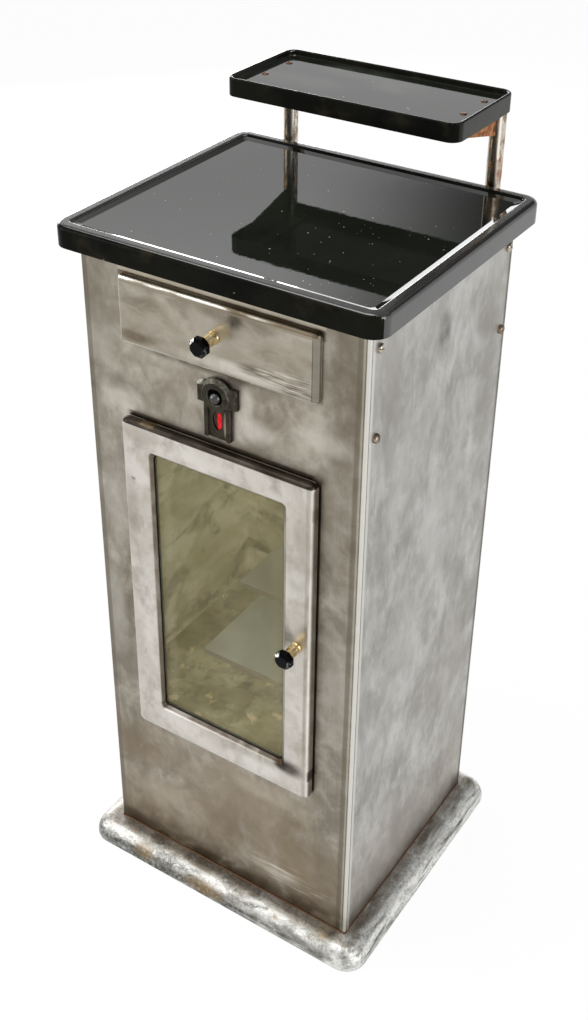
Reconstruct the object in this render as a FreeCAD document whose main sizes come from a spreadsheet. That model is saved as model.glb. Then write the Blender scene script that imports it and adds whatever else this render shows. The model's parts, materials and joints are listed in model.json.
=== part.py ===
import FreeCAD, Part
import math
import os
import re

import Sketcher

# Free-standing steel medical cabinet: a bare sheet-steel body on a cast base moulding, a glazed door,
# one drawer above a switch plate with a pilot jewel, a black enamelled top with a raised rim, and a
# small enamelled shelf on two tubes behind it.
# Frame: millimetres, +Z up, origin on the floor under the middle of the body. The front faces -Y,
# and the door hangs on its -X side.

SIZES = {
    # body
    "body_width": 356,
    "body_depth": 310,
    "drawer_to_rim": 43.5,
    "sheet": 1.5,
    "front_bend": 2,
    "seam_depth": 3,
    "seam_gap": 1.6,
    "seam_round": 1,
    "joint_depth": 7.5,
    "wall_flange": 13,
    "edge_flange": 10,
    # base moulding
    "plinth_height": 27.3,
    "plinth_overhang": 33.2,
    "plinth_corner": 28,
    "plinth_flat": 1.3,
    "plinth_sole_round": 2,
    "plinth_rim": 16,
    "plinth_deck": 4,
    "plinth_ledge": 8,
    "base_plate_thick": 3,
    "base_screw_radius": 4.5,
    "base_screw_inset": 5,
    "base_screw_length": 12,
    # enamelled top
    "top_overhang": 21.4,
    "top_height": 24.9,
    "top_corner": 20,
    "top_round": 6,
    "top_rim": 14.5,
    "top_recess": 4.5,
    "top_inner_corner": 8,
    "top_inner_round": 2.2,
    "top_sheet": 1.6,
    "top_skirt": 2,
    # door
    "door_margin": 52,
    "door_rise": 215.2,
    "door_height": 448,
    "door_depth": 11,
    "door_gap": 2.5,
    "door_round": 6,
    "corner_extra": 1,
    "door_sheet": 1.2,
    "door_stile": 36,
    "door_foot_rail": 37.5,
    "door_head_rail": 33,
    "door_cover": 12,
    "lip_slope": 4,
    "lip_depth": 7.5,
    "lip_wall": 1.4,
    "gasket_thick": 0.8,
    "glass_cover": 6,
    "glass_thick": 4,
    "glass_bevel": 17,
    "glass_bevel_drop": 1.5,
    "retainer_width": 8,
    "retainer_cover": 4,
    "retainer_lip": 1.5,
    "retainer_screw_radius": 2.6,
    "retainer_screw_head": 1.6,
    "fit_gap": 0.4,
    # hinges
    "hinge_inset": 4.5,
    "hinge_back": 4.5,
    "hinge_pin_radius": 1.5,
    "hinge_pin_clearance": 0.05,
    "hinge_eye_radius": 2.8,
    "hinge_plate": 4,
    "hinge_arm": 4,
    "hinge_arm_clearance": 0.8,
    "hinge_tail": 28,
    "hinge_lug": 2,
    "hinge_lug_gap": 0.3,
    "hinge_from_end": 50,
    # catch and bumpers
    "catch_below_knob": 26,
    "catch_width": 12,
    "catch_leaf": 1.2,
    "catch_reach": 11,
    "catch_slack": 0.9,
    "strike_thick": 1.2,
    "strike_inset": 20,
    "strike_reach": 20,
    "bumper_radius": 2.8,
    "bumper_inset": 8.2,
    "bumper_from_end": 26,
    "bumper_clearance": 0.3,
    # knobs
    "knob_across": 21.5,
    "knob_thick": 11.5,
    "knob_front_bevel": 3.4,
    "knob_back_bevel": 2.6,
    "neck_length": 19,
    "neck_base_radius": 7.3,
    "neck_front_radius": 6.2,
    "neck_foot": 2.4,
    "neck_collar": 2.6,
    "neck_collar_radius": 6.8,
    "knob_screw_radius": 2,
    "knob_screw_head_radius": 4,
    "knob_screw_head": 2.4,
    "knob_screw_grip": 11,
    "door_knob_inset": 18,
    "door_knob_rise": 229.5,
    # drawer
    "drawer_margin": 53,
    "switch_to_drawer": 28.5,
    "drawer_height": 80.5,
    "drawer_proud": 7,
    "drawer_gap": 0.5,
    "drawer_round": 5,
    "drawer_cover": 7,
    "drawer_clearance": 2,
    "drawer_sheet": 1.2,
    "drawer_back_gap": 47,
    "drawer_knob_rise": 41,
    "drawer_travel": 200,
    "deck_drop": 17.5,
    "runner_ledge": 14,
    "runner_foot": 14,
    "runner_lip": 13,
    "runner_gap": 1,
    "runner_float": 0.3,
    "stop_width": 40,
    "stop_height": 8,
    "stop_lug_reach": 5,
    "stop_lug_length": 12,
    "stop_lug_drop": 6,
    "stop_lug_height": 8,
    # inner shelves
    "inner_shelf_rise": 62,
    "inner_shelf_room": 91,
    "inner_shelf_gap": 18,
    "inner_lower_depth": 218,
    "inner_shelf_step": 56,
    "inner_upper_depth": 153.5,
    "inner_shelf_lip": 8,
    "rack_arm": 10,
    "rack_plate": 3,
    "rack_back": 14,
    "rack_inset": 27,
    "rack_short": 12,
    # wall screws
    "wall_screw_front_inset": 16.7,
    "wall_screw_rear_inset": 11.5,
    "wall_screw_above": 82.5,
    "wall_screw_below": 18.5,
    "wall_screw_head_radius": 5.4,
    "wall_screw_head": 4.2,
    "wall_screw_radius": 2.5,
    "wall_screw_length": 12,
    "wall_screw_slot": 1.5,
    "nut_across": 8,
    "nut_thick": 4,
    "cheek_margin": 13,
    # posts and upper shelf
    "post_inset": 44,
    "post_gap": 0.6,
    "post_radius": 8.8,
    "post_wall": 1.5,
    "post_tail": 30,
    "clamp_drop": 54,
    "clamp_pitch": 196,
    "clamp_width": 44,
    "clamp_height": 20,
    "clamp_wall": 5,
    "clamp_bolt_radius": 3,
    "clamp_bolt_head_across": 10,
    "clamp_bolt_head": 4,
    "clamp_bolt_spread": 15.5,
    "clamp_bolt_end": 6,
    "shelf_side": 10.7,
    "shelf_depth": 135.5,
    "shelf_rear": 5.9,
    "shelf_rise": 101.6,
    "shelf_height": 20.7,
    "shelf_recess": 6.6,
    "shelf_rim": 4.2,
    "shelf_skirt": 1.6,
    "shelf_floor": 2,
    "shelf_corner": 14,
    "shelf_rim_flat": 0.4,
    "bracket_plate": 3,
    "bracket_reach": 98,
    "bracket_root": 37,
    "bracket_tip": 12,
    "bracket_flange": 22,
    "shelf_screw_radius": 2,
    "shelf_screw_head_radius": 4,
    "shelf_screw_head": 1.8,
    "shelf_screw_inset": 9.5,
    "shelf_screw_back": 11,
    "shelf_screw_pitch": 49,
    "shelf_nut_across": 7,
    "shelf_nut_thick": 3,
    # switch
    "door_to_tail": 10.5,
    "ring_radius": 20.2,
    "ring_hole_radius": 9.4,
    "ring_proud": 8.5,
    "ring_bevel": 4,
    "mouth_bevel": 0.6,
    "ear_reach": 26,
    "ear_height": 26,
    "ear_proud": 7,
    "ear_bevel": 3,
    "ear_round": 27.5,
    "tail_half_width": 16.5,
    "tail_length": 52.5,
    "tail_proud": 3,
    "rail_width": 4.6,
    "rail_proud": 5.2,
    "window_drop": 30.7,
    "window_half_height": 12,
    "window_half_width": 7,
    "stud_radius": 2,
    "stud_spread": 22,
    "stud_length": 7,
    "switch_case_width": 30,
    "switch_case_height": 30,
    "switch_case_depth": 34,
    "switch_slot_width": 12.4,
    "switch_slot_height": 20,
    "switch_slot_depth": 14,
    "toggle_length": 13,
    "toggle_drop": 8,
    "toggle_pivot_depth": 7.4,
    "toggle_ball_radius": 7,
    "toggle_stem_radius": 2.6,
    "toggle_barrel_radius": 2.8,
    "toggle_barrel_width": 8,
    "toggle_pin_radius": 1,
    "toggle_pin_clearance": 0.05,
    "toggle_pin_grip": 3,
    "jewel_radius": 6.6,
    "jewel_proud": 2.6,
    "jewel_dome": 2.4,
    "jewel_length": 6,
    "jewel_pane": 1.8,
    "lamp_radius": 9,
    "lamp_wall": 2,
    "lamp_length": 34,
    "lamp_flange_radius": 11.5,
    "lamp_flange": 2,
    "bulb_radius": 4.4,
    "bulb_base_radius": 4.6,
    "bulb_base_length": 12,
    "bulb_length": 24,
    # cable inlet and terminals
    "inlet_offset": 60,
    "inlet_drop": 25.5,
    "inlet_hole_radius": 8,
    "inlet_bore_radius": 4.5,
    "inlet_collar_radius": 11,
    "inlet_collar": 3,
    "terminal_width": 46,
    "terminal_depth": 18,
    "terminal_height": 14,
    "terminal_back": 30,
    "terminal_hole_radius": 2.2,
    # every cut runs this far past the face it opens
    "overrun": 2,
}

# Places and sizes worked out from the driving ones, spelled out again wherever they are used.
DERIVED = {
    # body
    "half_width": "body_width / 2",
    "half_depth": "body_depth / 2",
    "panel_in": "half_depth - sheet",
    "wall_in": "half_width - sheet",
    "deck_front": "half_depth - joint_depth",
    "back_in": "half_depth - 2 * sheet",
    "work_height": "drawer_high + drawer_to_rim",
    "body_top": "work_height - top_recess - top_sheet",
    "plinth_round": "plinth_height - plinth_sole_round - plinth_flat",
    # door
    "door_half": "half_width - door_margin",
    "door_low": "plinth_height + door_rise",
    "door_high": "door_low + door_height",
    "door_back": "half_depth + door_gap",
    "door_face": "door_back + door_depth",
    "door_inner": "door_face - door_sheet",
    "door_corner": "door_round + corner_extra",
    "light_half": "door_half - door_stile",
    "light_low": "door_low + door_foot_rail",
    "light_high": "door_high - door_head_rail",
    "lip_back": "door_face - lip_depth",
    "glass_half": "light_half - lip_slope + glass_cover",
    "glass_low": "light_low + lip_slope - glass_cover",
    "glass_high": "light_high - lip_slope + glass_cover",
    "glass_front": "lip_back - gasket_thick",
    "glass_rear": "glass_front - glass_thick",
    "clear_half": "door_half - door_cover",
    "clear_low": "door_low + door_cover",
    "clear_high": "door_high - door_cover",
    "hinge_x": "hinge_inset - door_half",
    "hinge_y": "door_back + hinge_back",
    "door_knob_x": "door_half - door_knob_inset",
    "door_knob_height": "door_low + door_knob_rise",
    "catch_height": "door_knob_height - catch_below_knob",
    # switch, between the door and the drawer
    "switch_height": "door_high + door_to_tail + tail_length",
    "window_height": "switch_height - window_drop",
    "toggle_pivot": "half_depth - toggle_pivot_depth",
    # drawer
    "drawer_half": "half_width - drawer_margin",
    "drawer_low": "switch_height + switch_to_drawer",
    "drawer_high": "drawer_low + drawer_height",
    "drawer_face": "half_depth + drawer_proud",
    "drawer_inner": "drawer_face - drawer_sheet",
    "drawer_corner": "drawer_round + corner_extra",
    "drawer_knob_height": "drawer_low + drawer_knob_rise",
    "slot_half": "drawer_half - drawer_cover",
    "slot_low": "drawer_low + drawer_cover",
    "slot_high": "drawer_high - drawer_cover",
    "box_half": "slot_half - drawer_clearance",
    "box_low": "slot_low + drawer_clearance",
    "box_high": "slot_high - drawer_clearance",
    "box_back": "back_in - drawer_back_gap",
    # decks, and the screws that hold the drawer's case
    "deck_height": "slot_low - deck_drop",
    "deck_top": "deck_height + sheet",
    "ceiling_low": "clear_high + sheet",
    "ceiling_top": "clear_high + 2 * sheet",
    "cupboard_floor": "clear_low - sheet",
    "wall_screw_front": "wall_screw_front_inset - half_depth",
    "wall_screw_rear": "half_depth - wall_screw_rear_inset",
    "wall_screw_high": "deck_height + wall_screw_above",
    "wall_screw_low": "deck_height - wall_screw_below",
    "cheek_low": "wall_screw_low - cheek_margin",
    "cheek_high": "wall_screw_high + cheek_margin",
    "inlet_height": "switch_height - inlet_drop",
    # inner shelves
    "inner_shelf_left": "half_width - inner_shelf_room",
    "inner_shelf_right": "half_width - inner_shelf_gap",
    "inner_shelf_height": "cupboard_floor + inner_shelf_rise",
    "upper_inner_shelf": "inner_shelf_height + inner_shelf_step",
    "inner_shelf_reach": "inner_lower_depth + rack_back - back_in",
    "inner_upper_reach": "inner_upper_depth - panel_in",
    # posts and upper shelf
    "post_spread": "half_width - post_inset",
    "post_front": "half_depth + top_overhang + post_gap",
    "post_back": "post_front + post_radius",
    "clamp_high": "body_top - clamp_drop",
    "clamp_low": "clamp_high - clamp_pitch",
    "post_foot": "clamp_low - post_tail",
    "shelf_width": "2 * (post_spread + shelf_side)",
    "shelf_back": "post_back + post_radius + shelf_rear",
    "shelf_front": "shelf_back - shelf_depth",
    "shelf_top": "work_height + shelf_rise",
    "shelf_low": "shelf_top - shelf_height",
    "shelf_deck": "shelf_top - shelf_recess",
    "shelf_under": "shelf_deck - shelf_floor",
    "shelf_round": "(shelf_rim - shelf_rim_flat) / 2",
    "bracket_in": "post_spread - bracket_plate / 2",
    "shelf_screw_first": "post_front - shelf_screw_back - shelf_screw_pitch",
}

doc = FreeCAD.newDocument("medical_cabinet")
dims = doc.addObject("Spreadsheet::Sheet", "dims")
for row, (alias, size) in enumerate(SIZES.items(), 1):
    dims.set(f"A{row}", alias)
    dims.set(f"B{row}", str(size))
    dims.setAlias(f"B{row}", alias)
doc.recompute()

NODES = []


def spell(formula):
    """A formula of plain names as an expression on the sheet's cells."""
    def swap(match):
        word = match.group(0)
        if word in DERIVED:
            return "(" + spell(DERIVED[word]) + ")"
        if word in SIZES:
            return "dims." + word
        return word
    return re.sub(r"[a-z_]+", swap, formula)


def value(formula):
    """The number that a formula comes to now."""
    return float(dims.evalExpression(spell(formula)))


def minus(formula):
    return f"-({formula})"


def bind(thing, **formulas):
    """Bind properties of a document object, written with __ for a dot, to formulas."""
    for name, formula in formulas.items():
        thing.setExpression(name.replace("__", "."), spell(formula))
    return thing


def keep(thing, label):
    """Give a finished sub-part its name and put it on the list to be written."""
    thing.Label = label
    NODES.append(thing)
    return thing


# Part primitives and booleans

def block(name, x, y, z):
    """A box between two formulas on each axis."""
    box = doc.addObject("Part::Box", name)
    bind(box, Length=f"({x[1]}) - ({x[0]})", Width=f"({y[1]}) - ({y[0]})", Height=f"({z[1]}) - ({z[0]})")
    return bind(box, Placement__Base__x=x[0], Placement__Base__y=y[0], Placement__Base__z=z[0])


TURNS = {
    "+x": FreeCAD.Rotation(FreeCAD.Vector(0, 1, 0), 90),
    "-x": FreeCAD.Rotation(FreeCAD.Vector(0, 1, 0), -90),
    "+y": FreeCAD.Rotation(FreeCAD.Vector(1, 0, 0), -90),
    "-y": FreeCAD.Rotation(FreeCAD.Vector(1, 0, 0), 90),
    "+z": FreeCAD.Rotation(),
    "-z": FreeCAD.Rotation(FreeCAD.Vector(1, 0, 0), 180),
}


def place(thing, where, way="+z"):
    """Turn a thing's own z axis to the way given and put its origin at the place given."""
    thing.Placement = FreeCAD.Placement(FreeCAD.Vector(), TURNS[way])
    return bind(thing, Placement__Base__x=where[0], Placement__Base__y=where[1], Placement__Base__z=where[2])


def rod(name, where, way, radius, length):
    """A round bar from a point, along one axis."""
    bar = doc.addObject("Part::Cylinder", name)
    bind(bar, Radius=radius, Height=length)
    return place(bar, where, way)


def cone(name, where, way, first, second, length):
    """A cone from a point, along one axis, from the first radius to the second."""
    taper = doc.addObject("Part::Cone", name)
    bind(taper, Radius1=first, Radius2=second, Height=length)
    return place(taper, where, way)


def ball(name, where, radius):
    sphere = doc.addObject("Part::Sphere", name)
    bind(sphere, Radius=radius)
    return place(sphere, where)


def hexagon(name, where, way, across, length):
    """A six-sided bar of a given size across its flats."""
    bar = doc.addObject("Part::Prism", name)
    bar.Polygon = 6
    bind(bar, Circumradius=f"({across}) / (2 * cos(30))", Height=length)
    return place(bar, where, way)


def frustum(name, x, y, z, inset):
    """A block whose cross-section shrinks by an inset on each side from its first y to its second."""
    wedge = doc.addObject("Part::Wedge", name)
    bind(wedge, Xmin=x[0], Xmax=x[1], Ymin=y[0], Ymax=y[1], Zmin=z[0], Zmax=z[1])
    bind(wedge, X2min=f"({x[0]}) + ({inset})", X2max=f"({x[1]}) - ({inset})")
    return bind(wedge, Z2min=f"({z[0]}) + ({inset})", Z2max=f"({z[1]}) - ({inset})")


def fuse(name, parts):
    joined = doc.addObject("Part::MultiFuse", name)
    joined.Shapes = parts
    return joined


def cut(name, base, tools):
    """A base with every tool taken out of it."""
    left = doc.addObject("Part::Cut", name)
    left.Base = base
    left.Tool = tools[0] if len(tools) == 1 else fuse(name + "_tools", tools)
    return left


def common(name, first, second):
    shared = doc.addObject("Part::Common", name)
    shared.Base = first
    shared.Tool = second
    return shared


def gather(name, parts):
    """Separate solids kept as one node."""
    group = doc.addObject("Part::Compound", name)
    group.Links = parts
    return group


def mirrored(name, source):
    """The same piece on the other side of the cabinet's middle plane."""
    twin = doc.addObject("Part::Mirroring", name)
    twin.Source = source
    twin.Normal = FreeCAD.Vector(1, 0, 0)
    return twin


# Bodies with sketches

def new_body(name):
    return doc.addObject("PartDesign::Body", name)


def new_sketch(body, role, name, lift="0"):
    """A sketch on one of the body's own planes, lifted along that plane's normal."""
    sketch = body.newObject("Sketcher::SketchObject", name)
    plane = next(face for face in body.Origin.OriginFeatures if face.Role == role)
    sketch.AttachmentSupport = [(plane, "")]
    sketch.MapMode = "FlatFace"
    return bind(sketch, AttachmentOffset__Base__z=lift)


def hold(sketch, kind, geometry, point, formula):
    """Fix one coordinate of a sketch point, measured from the sketch's origin, to a formula."""
    number = sketch.addConstraint(Sketcher.Constraint(kind, -1, 1, geometry, point, value(formula)))
    sketch.setExpression(f"Constraints[{number}]", spell(formula))


def add_loop(sketch, points):
    """A closed outline of straight lines through points that are pairs of formulas."""
    spots = [FreeCAD.Vector(value(u), value(v), 0) for u, v in points]
    first = sketch.GeometryCount
    count = len(points)
    for index, spot in enumerate(spots):
        sketch.addGeometry(Part.LineSegment(spot, spots[(index + 1) % count]), False)
    for index in range(count):
        sketch.addConstraint(
            Sketcher.Constraint("Coincident", first + index, 2, first + (index + 1) % count, 1))
    for index, (u, v) in enumerate(points):
        hold(sketch, "DistanceX", first + index, 1, u)
        hold(sketch, "DistanceY", first + index, 1, v)


def add_rounded(sketch, u, v, radius):
    """A rectangle between two formulas each way, with round corners."""
    low = [f"({side[0]}) + ({radius})" for side in (u, v)]
    high = [f"({side[1]}) - ({radius})" for side in (u, v)]
    middles = [(low[0], low[1]), (high[0], low[1]), (high[0], high[1]), (low[0], high[1])]
    size = value(radius)
    quarter = math.pi / 2
    arcs = []
    for index, (x, y) in enumerate(middles):
        middle = FreeCAD.Vector(value(x), value(y), 0)
        circle = Part.Circle(middle, FreeCAD.Vector(0, 0, 1), size)
        start = math.pi + index * quarter
        arcs.append(sketch.addGeometry(Part.ArcOfCircle(circle, start, start + quarter), False))
        hold(sketch, "DistanceX", arcs[-1], 3, x)
        hold(sketch, "DistanceY", arcs[-1], 3, y)
        number = sketch.addConstraint(Sketcher.Constraint("Radius", arcs[-1], size))
        sketch.setExpression(f"Constraints[{number}]", spell(radius))
    for index, arc in enumerate(arcs):
        after = arcs[(index + 1) % len(arcs)]
        side = sketch.addGeometry(Part.LineSegment(sketch.getPoint(arc, 2), sketch.getPoint(after, 1)), False)
        sketch.addConstraint(Sketcher.Constraint("Tangent", arc, 2, side, 1))
        sketch.addConstraint(Sketcher.Constraint("Tangent", side, 2, after, 1))


def add_circle(sketch, u, v, radius):
    centre = FreeCAD.Vector(value(u), value(v), 0)
    number = sketch.addGeometry(Part.Circle(centre, FreeCAD.Vector(0, 0, 1), value(radius)), False)
    hold(sketch, "DistanceX", number, 3, u)
    hold(sketch, "DistanceY", number, 3, v)
    size = sketch.addConstraint(Sketcher.Constraint("Radius", number, value(radius)))
    sketch.setExpression(f"Constraints[{size}]", spell(radius))


def oblong(u, v):
    """The four corners of a rectangle between two formulas each way."""
    return [(u[0], v[0]), (u[1], v[0]), (u[1], v[1]), (u[0], v[1])]


def pad(body, sketch, length, name="pad"):
    feature = body.newObject("PartDesign::Pad", name)
    feature.Profile = sketch
    bind(feature, Length=length)
    doc.recompute()
    return feature


def pocket(body, sketch, length, back=False, name="pocket"):
    """Cut a sketch into the body. The volume is compared, because a cut the wrong way shows no error."""
    before = body.Shape.Volume
    feature = body.newObject("PartDesign::Pocket", name)
    feature.Profile = sketch
    feature.Reversed = back
    bind(feature, Length=length)
    doc.recompute()
    if not body.Shape.Volume < before:
        raise ValueError(f"{body.Name}: {name} took nothing away")
    return feature


def slab(name, role, lift, length, points):
    """A body padded from one straight-sided outline."""
    body = new_body(name)
    sketch = new_sketch(body, role, name + "_outline", lift)
    add_loop(sketch, points)
    pad(body, sketch, length)
    return body


def straight_edges(shape, axis, near):
    """Names of the straight edges that run along an axis and whose middle passes a test."""
    names = []
    for number, edge in enumerate(shape.Edges, 1):
        if not isinstance(edge.Curve, (Part.Line, Part.LineSegment)):
            continue
        ends = edge.Vertexes
        way = (ends[-1].Point - ends[0].Point).normalize()
        middle = (ends[-1].Point + ends[0].Point) * 0.5
        if abs(way.dot(axis)) > 0.999 and near(middle):
            names.append(f"Edge{number}")
    return names


def edges_at(shape, axis, level, near=None):
    """Names of the edges that lie wholly at one level along an axis."""
    names = []
    for number, edge in enumerate(shape.Edges, 1):
        box = edge.BoundBox
        low = FreeCAD.Vector(box.XMin, box.YMin, box.ZMin).dot(axis)
        high = FreeCAD.Vector(box.XMax, box.YMax, box.ZMax).dot(axis)
        flat = abs(low - level) < NEAR and abs(high - level) < NEAR
        if flat and (near is None or near(edge.CenterOfMass)):
            names.append(f"Edge{number}")
    return names


def dress(body, kind, names, size, name):
    """A fillet or a chamfer on named edges of the body's last feature."""
    base = body.Tip
    feature = body.newObject("PartDesign::" + kind, name)
    feature.Base = (base, names)
    bind(feature, **{"Radius" if kind == "Fillet" else "Size": size})
    doc.recompute()
    if not names or "Invalid" in feature.State:
        raise ValueError(f"{body.Name}: {name} failed on {names}")
    return feature


X = FreeCAD.Vector(1, 0, 0)
Y = FreeCAD.Vector(0, 1, 0)
Z = FreeCAD.Vector(0, 0, 1)
NEAR = 0.01


def anywhere(point):
    return True


def upright_at(x, y):
    """A test for upright edges at a distance x either side of the middle plane and y either way."""
    across = value(x)
    along = value(y)
    return lambda at: abs(abs(at.x) - across) < NEAR and abs(abs(at.y) - along) < NEAR


def cushion(name, role, u, v, lift, length, corner, edge=None):
    """A body with rounded corners and, where a radius is given, a rounded edge at its far face."""
    body = slab(name, role, lift, length, oblong(u, v))
    axis, sign = (Z, 1) if role == "XY_Plane" else (Y, -1)
    dress(body, "Fillet", straight_edges(body.Shape, axis, anywhere), corner, name + "_corners")
    if edge:
        far = sign * value(f"({lift}) + ({length})")
        dress(body, "Fillet", edges_at(body.Shape, axis, far), edge, name + "_edge")
    return body


# Base moulding

def make_plinth():
    """Cast bullnose base, hollow underneath, with a ledge for the plate that closes it."""
    body = new_body("plinth_body")
    out_x = "half_width + plinth_overhang"
    out_y = "half_depth + plinth_overhang"
    sketch = new_sketch(body, "XY_Plane", "plinth_outline")
    add_loop(sketch, oblong((minus(out_x), out_x), (minus(out_y), out_y)))
    pad(body, sketch, "plinth_height")
    dress(body, "Fillet", straight_edges(body.Shape, Z, anywhere), "plinth_corner", "corners")
    dress(body, "Fillet", edges_at(body.Shape, Z, value("plinth_height")), "plinth_round", "bullnose")
    dress(body, "Fillet", edges_at(body.Shape, Z, 0), "plinth_sole_round", "sole")
    for name, rim, depth in (("plate_seat", "plinth_rim", "base_plate_thick"),
                             ("hollow", "plinth_rim + plinth_ledge", "plinth_height - plinth_deck")):
        in_x = f"{out_x} - ({rim})"
        in_y = f"{out_y} - ({rim})"
        sketch = new_sketch(body, "XY_Plane", name + "_outline")
        add_loop(sketch, oblong((minus(in_x), in_x), (minus(in_y), in_y)))
        pocket(body, sketch, depth, back=True, name=name)
    sketch = new_sketch(body, "XY_Plane", "base_screw_holes")
    for x, y in base_screw_places():
        add_circle(sketch, x, y, "base_screw_radius - base_plate_thick")
    pocket(body, sketch, "base_screw_length", back=True, name="base_screw_drilling")
    keep(body, "plinth")


def base_screw_places():
    """Where the base plate's screws go up into the moulding's ledge."""
    x = "half_width + plinth_overhang - plinth_rim - base_screw_inset"
    y = "half_depth + plinth_overhang - plinth_rim - base_screw_inset"
    return [(minus(x), minus(y)), (x, minus(y)), (x, y), (minus(x), y)]


def make_base_plate():
    """Flat plate that closes the moulding from below, and its four countersunk screws."""
    out_x = "half_width + plinth_overhang - plinth_rim"
    out_y = "half_depth + plinth_overhang - plinth_rim"
    plate = block("base_plate_blank", (minus(out_x), out_x), (minus(out_y), out_y), ("0", "base_plate_thick"))
    holes = []
    screws = []
    for index, (x, y) in enumerate(base_screw_places()):
        holes.append(cone(f"base_plate_hole_{index}", (x, y, "0"), "+z", "base_screw_radius",
                          "base_screw_radius - base_plate_thick", "base_plate_thick"))
        head = cone(f"base_screw_head_{index}", (x, y, "0"), "+z", "base_screw_radius",
                    "base_screw_radius - base_plate_thick", "base_plate_thick")
        shank = rod(f"base_screw_shank_{index}", (x, y, "0"), "+z", "base_screw_radius - base_plate_thick",
                    "base_screw_length")
        screws.append(fuse(f"base_screw_{index}", [head, shank]))
    keep(cut("base_plate_drilled", plate, holes), "base_plate")
    keep(gather("base_screw_group", screws), "base_plate_screws")


# Sheet-metal body

def make_front_panel():
    """Front sheet with returns at both corners and a turned-in edge round the door opening."""
    body = new_body("front_panel_body")
    y = minus("half_depth")
    inner = minus("panel_in")
    seam = minus("half_depth - seam_depth")
    sketch = new_sketch(body, "XY_Plane", "front_panel_section", "plinth_height")
    add_loop(sketch, [
        (minus("half_width"), y), ("half_width", y), ("half_width", seam), ("wall_in", seam),
        ("wall_in", inner), (minus("wall_in"), inner), (minus("wall_in"), seam), (minus("half_width"), seam)])
    pad(body, sketch, "body_top - plinth_height")
    corner = value("half_width")
    face = value(y)
    dress(body, "Fillet", straight_edges(
        body.Shape, Z, lambda at: abs(abs(at.x) - corner) < NEAR and abs(at.y - face) < NEAR),
        "front_bend", "corner_bends")
    sketch = new_sketch(body, "XZ_Plane", "flange_block", "panel_in")
    add_loop(sketch, oblong(("-clear_half - sheet", "clear_half + sheet"), ("clear_low - sheet", "clear_high + sheet")))
    flange = body.newObject("PartDesign::Pad", "door_flange")
    flange.Profile = sketch
    flange.Reversed = True
    bind(flange, Length="edge_flange")
    doc.recompute()
    sketch = new_sketch(body, "XZ_Plane", "door_opening", "half_depth + overrun")
    add_loop(sketch, oblong(("-clear_half", "clear_half"), ("clear_low", "clear_high")))
    pocket(body, sketch, "sheet + edge_flange + 2 * overrun", name="door_cut")
    sketch = new_sketch(body, "XZ_Plane", "drawer_opening", "half_depth + overrun")
    add_loop(sketch, oblong(("-slot_half", "slot_half"), ("slot_low", "slot_high")))
    pocket(body, sketch, "sheet + 2 * overrun", name="drawer_cut")
    sketch = new_sketch(body, "XZ_Plane", "switch_holes", "half_depth + overrun")
    add_circle(sketch, "0", "switch_height", "ring_hole_radius")
    add_circle(sketch, "0", "window_height", "window_half_width")
    add_circle(sketch, "stud_spread", "switch_height", "stud_radius")
    add_circle(sketch, "-stud_spread", "switch_height", "stud_radius")
    pocket(body, sketch, "sheet + 2 * overrun", name="switch_cut")
    keep(body, "front_panel")


def make_side_panels():
    """Side sheets whose front edge steps in behind the front panel, with a flange for the back."""
    body = new_body("side_panel_body")
    front = minus("panel_in")
    inward = "half_width - wall_flange"
    hidden = "wall_in - sheet"
    step = "seam_gap - half_depth + seam_depth"
    sketch = new_sketch(body, "XY_Plane", "side_panel_section", "plinth_height")
    add_loop(sketch, [
        (inward, front), ("wall_in", front), ("wall_in", f"{step} - sheet / 2"), ("half_width", f"{step} + sheet / 2"),
        ("half_width", "panel_in"), (inward, "panel_in"), (inward, "back_in"), ("wall_in", "back_in"),
        ("wall_in", f"{step} + sheet"), (hidden, step), (hidden, minus("back_in")), (inward, minus("back_in"))])
    pad(body, sketch, "body_top - plinth_height")
    face = value("half_width")
    seam = value(f"{step} + sheet / 2")
    rear = value("panel_in")
    dress(body, "Fillet", straight_edges(
        body.Shape, Z, lambda at: abs(at.x - face) < NEAR and abs(at.y - seam) < NEAR), "seam_round", "seam_bend")
    dress(body, "Fillet", straight_edges(
        body.Shape, Z, lambda at: abs(at.x - face) < NEAR and abs(at.y - rear) < NEAR), "front_bend", "rear_bend")
    sketch = new_sketch(body, "YZ_Plane", "wall_holes", "half_width + overrun")
    for reach in ("wall_screw_front", "wall_screw_rear"):
        for height in ("wall_screw_high", "wall_screw_low"):
            add_circle(sketch, reach, height, "wall_screw_radius")
    pocket(body, sketch, "sheet + 2 * overrun", name="screw_holes")
    keep(body, "right_side_panel")
    keep(mirrored("left_side_body", body), "left_side_panel")


def make_back_panel():
    """Flat back sheet laid on the side panels' flanges, drilled for the clamps and the cable inlet."""
    body = new_body("back_panel_body")
    sketch = new_sketch(body, "XZ_Plane", "back_panel_outline", minus("panel_in"))
    edge = "half_width"
    add_loop(sketch, oblong((minus(edge), edge), ("plinth_height", "body_top")))
    sheet = body.newObject("PartDesign::Pad", "back_sheet")
    sheet.Profile = sketch
    sheet.Reversed = True
    bind(sheet, Length="sheet")
    doc.recompute()
    sketch = new_sketch(body, "XZ_Plane", "back_holes", minus("panel_in - overrun"))
    add_circle(sketch, "inlet_offset", "inlet_height", "inlet_hole_radius")
    for x, z in clamp_bolt_places():
        add_circle(sketch, x, z, "clamp_bolt_radius")
    pocket(body, sketch, "sheet + 2 * overrun", back=False, name="back_drilling")
    keep(body, "back_panel")


def clamp_bolt_places():
    """Where the clamps' bolts go through the back panel."""
    places = []
    for side in ("-1", "1"):
        for height in ("clamp_high", "clamp_low"):
            for way in ("-", "+"):
                places.append((f"{side} * (post_spread {way} clamp_bolt_spread)", height))
    return places


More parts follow.
